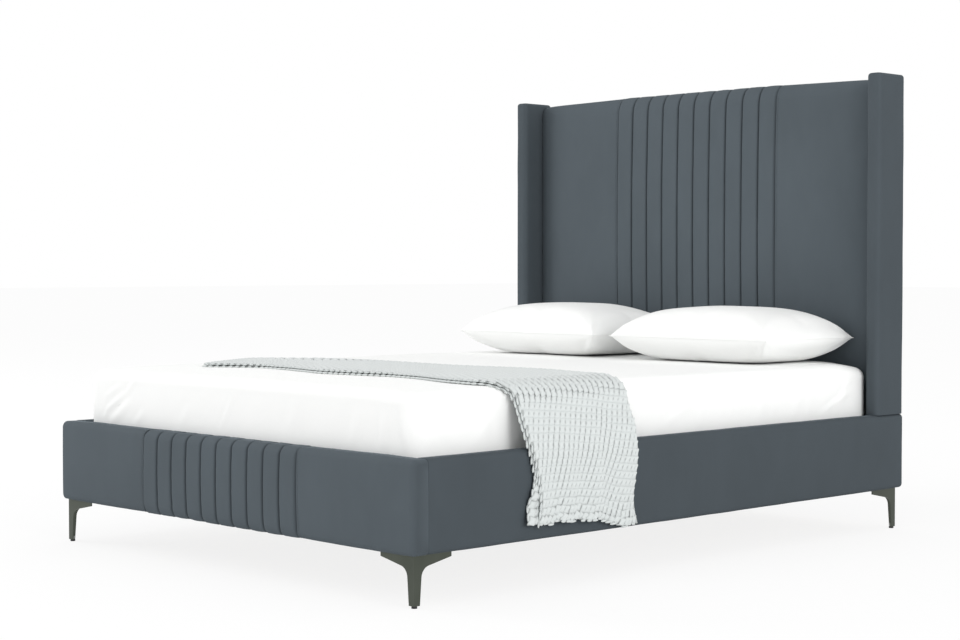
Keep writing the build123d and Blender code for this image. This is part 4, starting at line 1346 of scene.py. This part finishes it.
class Drape:
    """The throw's shape: where a place of the folded cloth lies."""

    def __init__(self):
        self.travelled, self.line, self.out = throw_line(0.004)
        self.length = self.run_at_height(THROW_LOW[2])
        self.bed_length = self.run_at_height(SHEET_HIGH[2] - 0.004)
        self.edges = []
        for on_bed, hanging in ((NEAR_ON_BED, NEAR_HANGING), (FAR_ON_BED, FAR_HANGING)):
            knots = [x - THROW_LOW[0] for x, _ in on_bed] + [self.run_at_height(z) for z, _ in hanging]
            self.edges.append((knots, [y for _, y in on_bed + hanging]))

    def run_at_height(self, height):
        return np.interp(-height, -self.line[:, 1], self.travelled)

    def at(self, along, across, layer):
        """Places for distances along the throw, shares across it from its near edge, and a height."""
        tip = 0.7
        slant = np.where(across < tip, (tip - across) / tip, (across - tip) / (1 - tip))
        start = 0.19 * (np.sqrt(slant**2 + 0.02) - 0.14)
        hanging = np.clip((along - self.bed_length) / (self.length - self.bed_length), 0, 1)
        hem = THROW_LOW[2] - np.interp(across, *zip(*HEM))
        skew = 0.055 * (across - 0.5) * np.clip(along / 0.6, 0, 1)
        run = along + start * np.clip(1 - along / 0.5, 0, 1) + skew * (1 - hanging) + hem * hanging
        near, far = (smoothly(run, *edge) for edge in self.edges)
        y = near + (far - near) * across
        x, z = np.moveaxis(read_off(run, self.travelled, self.line), -1, 0)
        out_x, out_z = np.moveaxis(read_off(run, self.travelled, self.out), -1, 0)
        lift = layer + self.folds(across, hanging, run, layer)
        place = np.stack([x + out_x * lift, y, z + out_z * lift], axis=-1)
        ruffle = np.clip((hanging - 0.8) / 0.2, 0, 1)
        place[..., 2] += ruffle * (0.003 * np.sin(across * 34 + 0.6) + 0.002 * np.sin(across * 63 + 2))
        return place

    def folds(self, across, hanging, run, layer):
        """How far the cloth stands off: loft on the bed, then folds and gathers that deepen to the hem."""
        loft = layer / THROW_UPPER * (1 - eased(hanging * 3))
        loft = loft * np.clip(run / 0.2, 0, 1) * np.clip(across * 8, 0, 1)
        loft = loft * (0.0012 + 0.0012 * np.sin(run * 9 + across * 2.2 + 1.4))
        deep = 0.007 * hanging**1.3 * (0.5 + 0.5 * np.sin(across * 2 * math.pi * 3.4 + 1.1 + 1.2 * hanging))
        gathers = np.clip((hanging - 0.72) / 0.28, 0, 1) ** 1.2
        pleats = 0.0035 * gathers * (0.5 + 0.5 * np.sin(across * 2 * math.pi * 17 + 2.0 * np.sin(across * 9)))
        return loft + deep + pleats

    def lower(self, along, across):
        """Places on the lower layer, whose near edge shows past the upper one and flares out at the hem."""
        places = self.at(along, across, THROW_LOWER)
        flare = eased((along - self.length + 0.13) / 0.08) * (1 - across) ** 5
        places[..., 1] -= 0.034 * flare + 0.006 * (1 - across) ** 12
        places[..., 0] += 0.004 * flare * np.sin(along * 90)
        return places


def throw_cloth(drape):
    """The folded throw's cloth: its upper layer, the fold at its far edge, and the layer beneath."""
    alongs = np.linspace(0, drape.length, 150)
    middle = (THROW_UPPER + THROW_LOWER) / 2
    bend = (THROW_UPPER - THROW_LOWER) / 2
    shares = np.linspace(0, FOLD_SHARE, 40)
    rows = [drape.at(alongs, np.full_like(alongs, share), THROW_UPPER) for share in shares]
    for a in np.linspace(0, math.pi, 7)[1:-1]:
        share = np.full_like(alongs, FOLD_SHARE + (1 - FOLD_SHARE) * math.sin(a))
        rows.append(drape.at(alongs, share, middle + bend * math.cos(a)))
    rows += [drape.lower(alongs, np.full_like(alongs, share)) for share in shares[::-1]]
    grid = np.array(rows)
    faces = quads(numbered(*grid.shape[:2]))
    points = grid.reshape(-1, 3)
    first = points[faces[len(faces) // 4]]
    if np.cross(first[1] - first[0], first[2] - first[1])[2] < 0:
        faces = faces[:, ::-1]
    return thicken(new_piece("throw_cloth", points, faces.tolist(), 180), THROW_CLOTH, 0), grid


def throw_puffs(drape, settings, material):
    """The raised knitted puffs over the throw's upper layer, each row shifted by half a puff."""
    rows = int(drape.length / PUFF_LENGTH)
    alongs = (np.arange(rows) + 0.5) * drape.length / rows
    shift = np.where(np.arange(rows) % 2, 0.25, -0.25)
    grid = []
    for column in range(PUFF_COLUMNS):
        share = np.clip((column + 0.5 + shift) / PUFF_COLUMNS, 0.45 / PUFF_COLUMNS, 1 - 0.5 / PUFF_COLUMNS)
        grid.append(drape.at(alongs, share, THROW_UPPER))
    flare = alongs[alongs > drape.length - 0.15]
    edge = [drape.lower(flare, np.full_like(flare, (column + 0.5) / PUFF_COLUMNS)) for column in range(3)]
    parts = []
    for places in (np.array(grid), np.array(edge)):
        along, across = np.gradient(places, axis=1), np.gradient(places, axis=0)
        normals = unit(np.cross(along, across))
        normals *= np.sign(normals[..., 2] + normals[..., 0])[..., None]
        width = np.linalg.norm(across, axis=-1) / PUFF_WIDTH
        length = np.linalg.norm(along, axis=-1) / PUFF_LENGTH
        size = np.stack([width * 1.02, length * 1.02, np.ones_like(width)], axis=-1)
        raised = places + normals * THROW_CLOTH * 0.42
        parts.append([part.reshape(-1, 3) for part in (raised, normals, along, size)])
    places, normals, along, size = (np.concatenate(part) for part in zip(*parts))
    holder = points_with(places, facing=normals, along=along, size=size)
    return run_tree("throw_puffs", holder, puff_tree(), height=settings.puff_height, material=material)


def throw_edging(drape, material):
    """Beads of the worked edge along the throw's near edges and hem."""
    alongs = np.linspace(0, drape.length, 400)
    near = np.zeros_like(alongs)
    shares = np.linspace(0, 1, 120)
    lines = [
        (drape.at(alongs, near, THROW_UPPER), (0.0, -1.0, 0.2)),
        (drape.lower(alongs, near), (0.0, -1.0, 0.2)),
        (drape.at(np.full_like(shares, drape.length), shares, THROW_UPPER), (0.3, 0.0, -1.0)),
    ]
    lines = [(line, np.tile(facing, (len(line), 1))) for line, facing in lines]
    return stitched("throw_edging", lines, material, length=0.0235, pitch=0.0225, radius=0.0034)


# Settings that a user would change
class UpholsterySettings(bpy.types.PropertyGroup):
    velvet_colour: bpy.props.FloatVectorProperty(
        name="Velvet Colour", description="Colour of the velvet", subtype="COLOR", size=3,
        min=0, max=1, default=(0.086, 0.104, 0.118),
    )
    velvet_sheen: bpy.props.FloatProperty(
        name="Velvet Sheen", description="How much light the pile catches where it turns away",
        min=0, max=1, default=0.5,
    )
    field_crown: bpy.props.FloatProperty(
        name="Field Crown", description="How far the padding lifts the middle of a plain field",
        unit="LENGTH", min=0, max=0.01, default=0.0012,
    )
    seam_roll: bpy.props.FloatProperty(
        name="Seam Roll", description="Radius of the velvet where it rolls into a joint between two covers",
        unit="LENGTH", min=0.0005, max=0.008, default=0.0022,
    )
    channel_groove: bpy.props.FloatProperty(
        name="Channel Groove", description="Depth of the seams between the channels",
        unit="LENGTH", min=0.001, max=0.012, default=0.0085,
    )
    channel_shoulder: bpy.props.FloatProperty(
        name="Channel Shoulder", description="Width over which a channel's edge rolls down to its seam",
        unit="LENGTH", min=0.002, max=0.03, default=0.0105,
    )
    stitch_length: bpy.props.FloatProperty(
        name="Stitch Length", description="Length of one top stitch",
        unit="LENGTH", min=0.002, max=0.01, default=0.0048,
    )


class BeddingSettings(bpy.types.PropertyGroup):
    cotton_colour: bpy.props.FloatVectorProperty(
        name="Cotton Colour", description="Colour of the sheet and the pillow cases", subtype="COLOR", size=3,
        min=0, max=1, default=(0.915, 0.92, 0.91),
    )
    knit_colour: bpy.props.FloatVectorProperty(
        name="Knit Colour", description="Colour of the throw's yarn", subtype="COLOR", size=3,
        min=0, max=1, default=(0.655, 0.69, 0.685),
    )
    fold_height: bpy.props.FloatProperty(
        name="Fold Height", description="How strongly the fitted sheet is creased",
        min=0, max=3, default=1.0,
    )
    pillow_pressure: bpy.props.FloatProperty(
        name="Pillow Filling", description="Pressure that fills the pillows", min=0, max=20, default=4.0,
    )
    pillow_frames: bpy.props.IntProperty(
        name="Pillow Steps", description="Steps over which the pillows fill", min=5, max=60, default=20,
    )
    puff_height: bpy.props.FloatProperty(
        name="Puff Height", description="Height of the throw's knitted puffs",
        unit="LENGTH", min=0, max=0.008, default=0.0034,
    )


class StageSettings(bpy.types.PropertyGroup):
    key_power: bpy.props.FloatProperty(
        name="Key Light", description="Power of the soft light before the bed's left corner", unit="POWER",
        default=420,
    )
    fill_power: bpy.props.FloatProperty(
        name="Fill Light", description="Power of the soft light at the bed's right side", unit="POWER",
        default=370,
    )
    sky_strength: bpy.props.FloatProperty(
        name="Room Light", description="Strength of the even light all round", min=0, max=3, default=0.88,
    )
    floor_shadow: bpy.props.FloatProperty(
        name="Floor Shadow", description="How much of the bed's shadow the floor shows",
        min=0, max=1, default=0.16,
    )


# Operators
def shared_cloth():
    """The velvet that all the covers share."""
    return bpy.data.materials["short-pile velvet"]


def cover_pair(settings, part, axis, radii, padding, end_round, seed, painted_shade_share):
    """Covers the left and the right one of a pair of padded boards."""
    for number, side in enumerate(SIDES):
        node = f"{part}_{side}_cover"
        name = f"{part}_{side}_velvet"
        piece = padded_sleeve(name, node, axis, radii, padding, end_round, settings, seed + number)
        # Painted shade over the whole cover, darker than the footboard and headboard that face the foot
        painted_shade(piece, painted_shade_share)
        finished(piece, shared_cloth(), "frame", (node, f"{part}_{side}_foam"))


def cover_board(settings, board, field, channels, lines):
    """Covers a board with two plain fields, its sewn channels and their top stitches."""
    cloth = shared_cloth()
    for side in SIDES:
        piece = finished(field(side, settings), cloth, "frame", (f"{board}_cover_{side}",))
    row = channels(settings, cloth)
    finished(row, cloth, "frame", (f"{board}_channel_panel", f"{board}_foam"))
    sewing = bpy.data.materials["sewing thread"]
    rows = stitched(f"{board}_stitches", lines, sewing, settings.stitch_length, STITCH_PITCH)
    finished(rows, sewing, "frame")


class BED_OT_side_rails(bpy.types.Operator):
    """Covers the two side rails in padded velvet"""

    bl_idname = "bed.side_rails"
    bl_label = "Side Rails"

    def execute(self, context):
        radii = (RAIL_ROUND,) * 4
        settings = context.scene.bed_upholstery
        cover_pair(settings, "side_rail", 1, radii, RAIL_PADDING, RAIL_END_ROUND, 0, SIDE_PAINTED_SHADE)
        return {"FINISHED"}


class BED_OT_wings(bpy.types.Operator):
    """Covers the two wings in padded velvet"""

    bl_idname = "bed.wings"
    bl_label = "Wings"

    def execute(self, context):
        radii = (WING_FRONT_ROUND,) * 2 + (WING_BACK_ROUND,) * 2
        settings = context.scene.bed_upholstery
        cover_pair(settings, "wing", 2, radii, WING_PADDING, WING_TOP_ROUND, 4, WING_PAINTED_SHADE)
        return {"FINISHED"}


class BED_OT_footboard(bpy.types.Operator):
    """Covers the footboard: two plain fields, the sewn channels and their top stitches"""

    bl_idname = "bed.footboard"
    bl_label = "Footboard"

    def execute(self, context):
        settings = context.scene.bed_upholstery
        cover_board(settings, "footboard", footboard_field, footboard_channels, foot_stitch_lines())
        return {"FINISHED"}


class BED_OT_headboard(bpy.types.Operator):
    """Covers the headboard: two plain fields, the sewn channels and their top stitches"""

    bl_idname = "bed.headboard"
    bl_label = "Headboard"

    def execute(self, context):
        settings = context.scene.bed_upholstery
        cover_board(settings, "headboard", headboard_field, headboard_channels, head_stitch_lines())
        return {"FINISHED"}


class BED_OT_lining(bpy.types.Operator):
    """Closes the headboard's back with stapled lining, and straps the slats together"""

    bl_idname = "bed.lining"
    bl_label = "Lining and Straps"

    def execute(self, context):
        staples = bpy.data.materials["zinc steel"]
        back = finished(back_lining(), lining(), "frame", ("headboard_back_cloth",))
        pins = finished(lining_staples(staples), staples, "frame")
        finished(slat_straps(), webbing(), "frame", ("slat_webbing",))
        return {"FINISHED"}


class BED_OT_mattress(bpy.types.Operator):
    """Makes the mattress and its fitted sheet"""

    bl_idname = "bed.mattress"
    bl_label = "Mattress and Sheet"

    def execute(self, context):
        settings = context.scene.bed_bedding
        ticking = mattress_cloth()
        pad = finished(mattress_pad(), ticking, "mattress_body", ("mattress",))
        finished(mattress_piping(), ticking, "mattress_body")
        white = cotton("sheet cotton", settings.cotton_colour)
        sheet = finished(fitted_sheet(settings), white, "mattress_body", ("fitted_sheet",))
        return {"FINISHED"}


class BED_OT_pillows(bpy.types.Operator):
    """Fills the two pillows and lays them on the bed"""

    bl_idname = "bed.pillows"
    bl_label = "Pillows"

    def execute(self, context):
        settings = context.scene.bed_bedding
        white = cotton("pillow cotton", settings.cotton_colour)
        for side in SIDES:
            body = f"pillow_{side}_body"
            case = pillow(side, settings)
            seam = pillow_seam(side, case)
            finished(case, white, body, (f"pillow_{side}",))
            finished(seam, white, body)
        return {"FINISHED"}


class BED_OT_throw(bpy.types.Operator):
    """Lays the folded, knitted throw over the bed and its right rail"""

    bl_idname = "bed.throw"
    bl_label = "Throw"

    def execute(self, context):
        settings = context.scene.bed_bedding
        # Painted shade: the ground cloth, seen between the puffs and beneath them, is a fifth darker than the
        # same yarn
        shaded_ground = knit("knit ground", shade(settings.knit_colour, 0.8), 0.25)
        yarn = knit("knit yarn", settings.knit_colour, 0.14)
        drape = Drape()
        cloth, grid = throw_cloth(drape)
        finished(cloth, shaded_ground, "throw_body", ("throw",))
        puffs = finished(throw_puffs(drape, settings, yarn), yarn, "throw_body")
        edging = finished(throw_edging(drape, yarn), yarn, "throw_body")
        return {"FINISHED"}


class BED_OT_hardware(bpy.types.Operator):
    """Finishes the wood, steel and plastic pieces of the frame"""

    bl_idname = "bed.hardware"
    bl_label = "Wood and Metal"

    def execute(self, context):
        pine = ((0.56, 0.40, 0.22), (0.40, 0.25, 0.11))
        ply = ((0.50, 0.37, 0.22), (0.34, 0.22, 0.11))
        looks = (
            (timber("pine along x", *pine, (0.6, 14, 14)), PINE_ACROSS),
            (timber("pine along y", *pine, (14, 0.6, 14)), ("slat_ledger", "centre_beam")),
            (timber("pine along z", *pine, (14, 14, 0.6)), ("headboard_stile",)),
            (timber("plywood", *ply, (1.2, 9, 9)), PLY_PARTS),
            (gunmetal(), ("corner_leg",)),
            (bpy.data.materials["zinc steel"], ZINC_PARTS),
            (black_steel(), ("support_leg",)),
            (black_plastic(), ("leg_glide", "leg_end_plugs", "levelling_foot")),
        )
        for name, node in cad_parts.items():
            look = next((material for material, starts in looks if name.startswith(starts)), None)
            if look is None and not node.hide_render:
                raise RuntimeError(f"no finish for {name}")
            node.data.materials.clear()
            node.data.materials.append(look or shared_cloth())
        return {"FINISHED"}


class BED_OT_stage(bpy.types.Operator):
    """Sets the floor, the lights and the camera"""

    bl_idname = "bed.stage"
    bl_label = "Stage"

    def execute(self, context):
        settings = context.scene.bed_stage
        floor_and_sky(settings)
        soft_light("key light", KEY_PLACE, settings.key_power)
        soft_light("fill light", FILL_PLACE, settings.fill_power)
        camera = in_scene("photograph view", bpy.data.cameras.new("photograph view"))
        camera.location = EYE
        camera.rotation_euler = (math.radians(90 - EYE_TILT), 0, math.radians(EYE_TURN))
        camera.data.lens = LENS
        camera.data.sensor_width = SENSOR
        camera.data.sensor_fit = "HORIZONTAL"
        camera.data.clip_end = 300
        context.scene.camera = camera
        context.scene.view_settings.view_transform = "Standard"
        return {"FINISHED"}


def soft_light(name, place, power):
    """A square soft light that looks at the bed."""
    lamp = bpy.data.lights.new(name, "AREA")
    lamp.shape = "SQUARE"
    lamp.size = LIGHT_SIZE
    lamp.energy = power
    holder = in_scene(name, lamp)
    holder.location = place
    away = [p - a for p, a in zip(place, LIGHT_AIM)]
    level = math.hypot(away[0], away[1])
    holder.rotation_euler = (math.atan2(level, away[2]), 0, math.atan2(away[0], -away[1]))


def floor_and_sky(settings):
    """A white floor that keeps the bed's soft shadow, under an even white sky."""
    floor = new_piece("floor", stood_up(rectangle((-60, -60), (60, 60)), 2, 0), [(0, 1, 2, 3)])
    material = bpy.data.materials.new("white floor")
    material.use_nodes = True
    nodes = Nodes(material.node_tree)
    seen = nodes.seen_by("Camera", "Glossy", "Transmission")
    paint = nodes.add("ShaderNodeBsdfDiffuse", {"Color": (0.96, 0.96, 0.96, 1)})
    glow = nodes.add("ShaderNodeEmission", {"Color": (1, 1, 1, 1), "Strength": 1.0})
    mixed = nodes.add("ShaderNodeMixShader", {0: seen * (1 - settings.floor_shadow), 1: paint, 2: glow})
    nodes.add("ShaderNodeOutputMaterial", {"Surface": mixed})
    floor.data.materials.append(material)
    world = bpy.data.worlds.new("studio")
    world.use_nodes = True
    sky = Nodes(world.node_tree)
    strength = settings.sky_strength + sky.seen_by("Camera", "Glossy") * (1 - settings.sky_strength)
    glow = sky.add("ShaderNodeBackground", {"Color": (1, 1, 1, 1), "Strength": strength})
    sky.add("ShaderNodeOutputWorld", {"Surface": glow})
    bpy.context.scene.world = world


class BED_OT_cloths(bpy.types.Operator):
    """Mixes the finishes that several pieces share"""

    bl_idname = "bed.cloths"
    bl_label = "Shared Finishes"

    def execute(self, context):
        settings = context.scene.bed_upholstery
        velvet(settings)
        thread(settings)
        zinc()
        return {"FINISHED"}


class BED_PT_dressing(bpy.types.Panel):
    """Lists the steps that dress the bed"""

    bl_idname = "BED_PT_dressing"
    bl_label = "Bed"
    bl_space_type = "VIEW_3D"
    bl_region_type = "UI"
    bl_category = "Bed"

    def draw(self, context):
        for step in STEPS:
            self.layout.operator(step.bl_idname)


STEPS = (
    BED_OT_cloths,
    BED_OT_footboard,
    BED_OT_side_rails,
    BED_OT_wings,
    BED_OT_headboard,
    BED_OT_lining,
    BED_OT_mattress,
    BED_OT_pillows,
    BED_OT_throw,
    BED_OT_hardware,
    BED_OT_stage,
)
SETTINGS = {
    "bed_upholstery": UpholsterySettings,
    "bed_bedding": BeddingSettings,
    "bed_stage": StageSettings,
}


def register():
    for group in (*SETTINGS.values(), *STEPS, BED_PT_dressing):
        bpy.utils.register_class(group)
    for name, group in SETTINGS.items():
        setattr(bpy.types.Scene, name, bpy.props.PointerProperty(type=group))


def unregister():
    for name in SETTINGS:
        delattr(bpy.types.Scene, name)
    for group in reversed((*SETTINGS.values(), *STEPS, BED_PT_dressing)):
        bpy.utils.unregister_class(group)


def main():
    register()
    for step in STEPS:
        group, name = step.bl_idname.split(".")
        getattr(getattr(bpy.ops, group), name)()


if __name__ == "__main__":
    main()
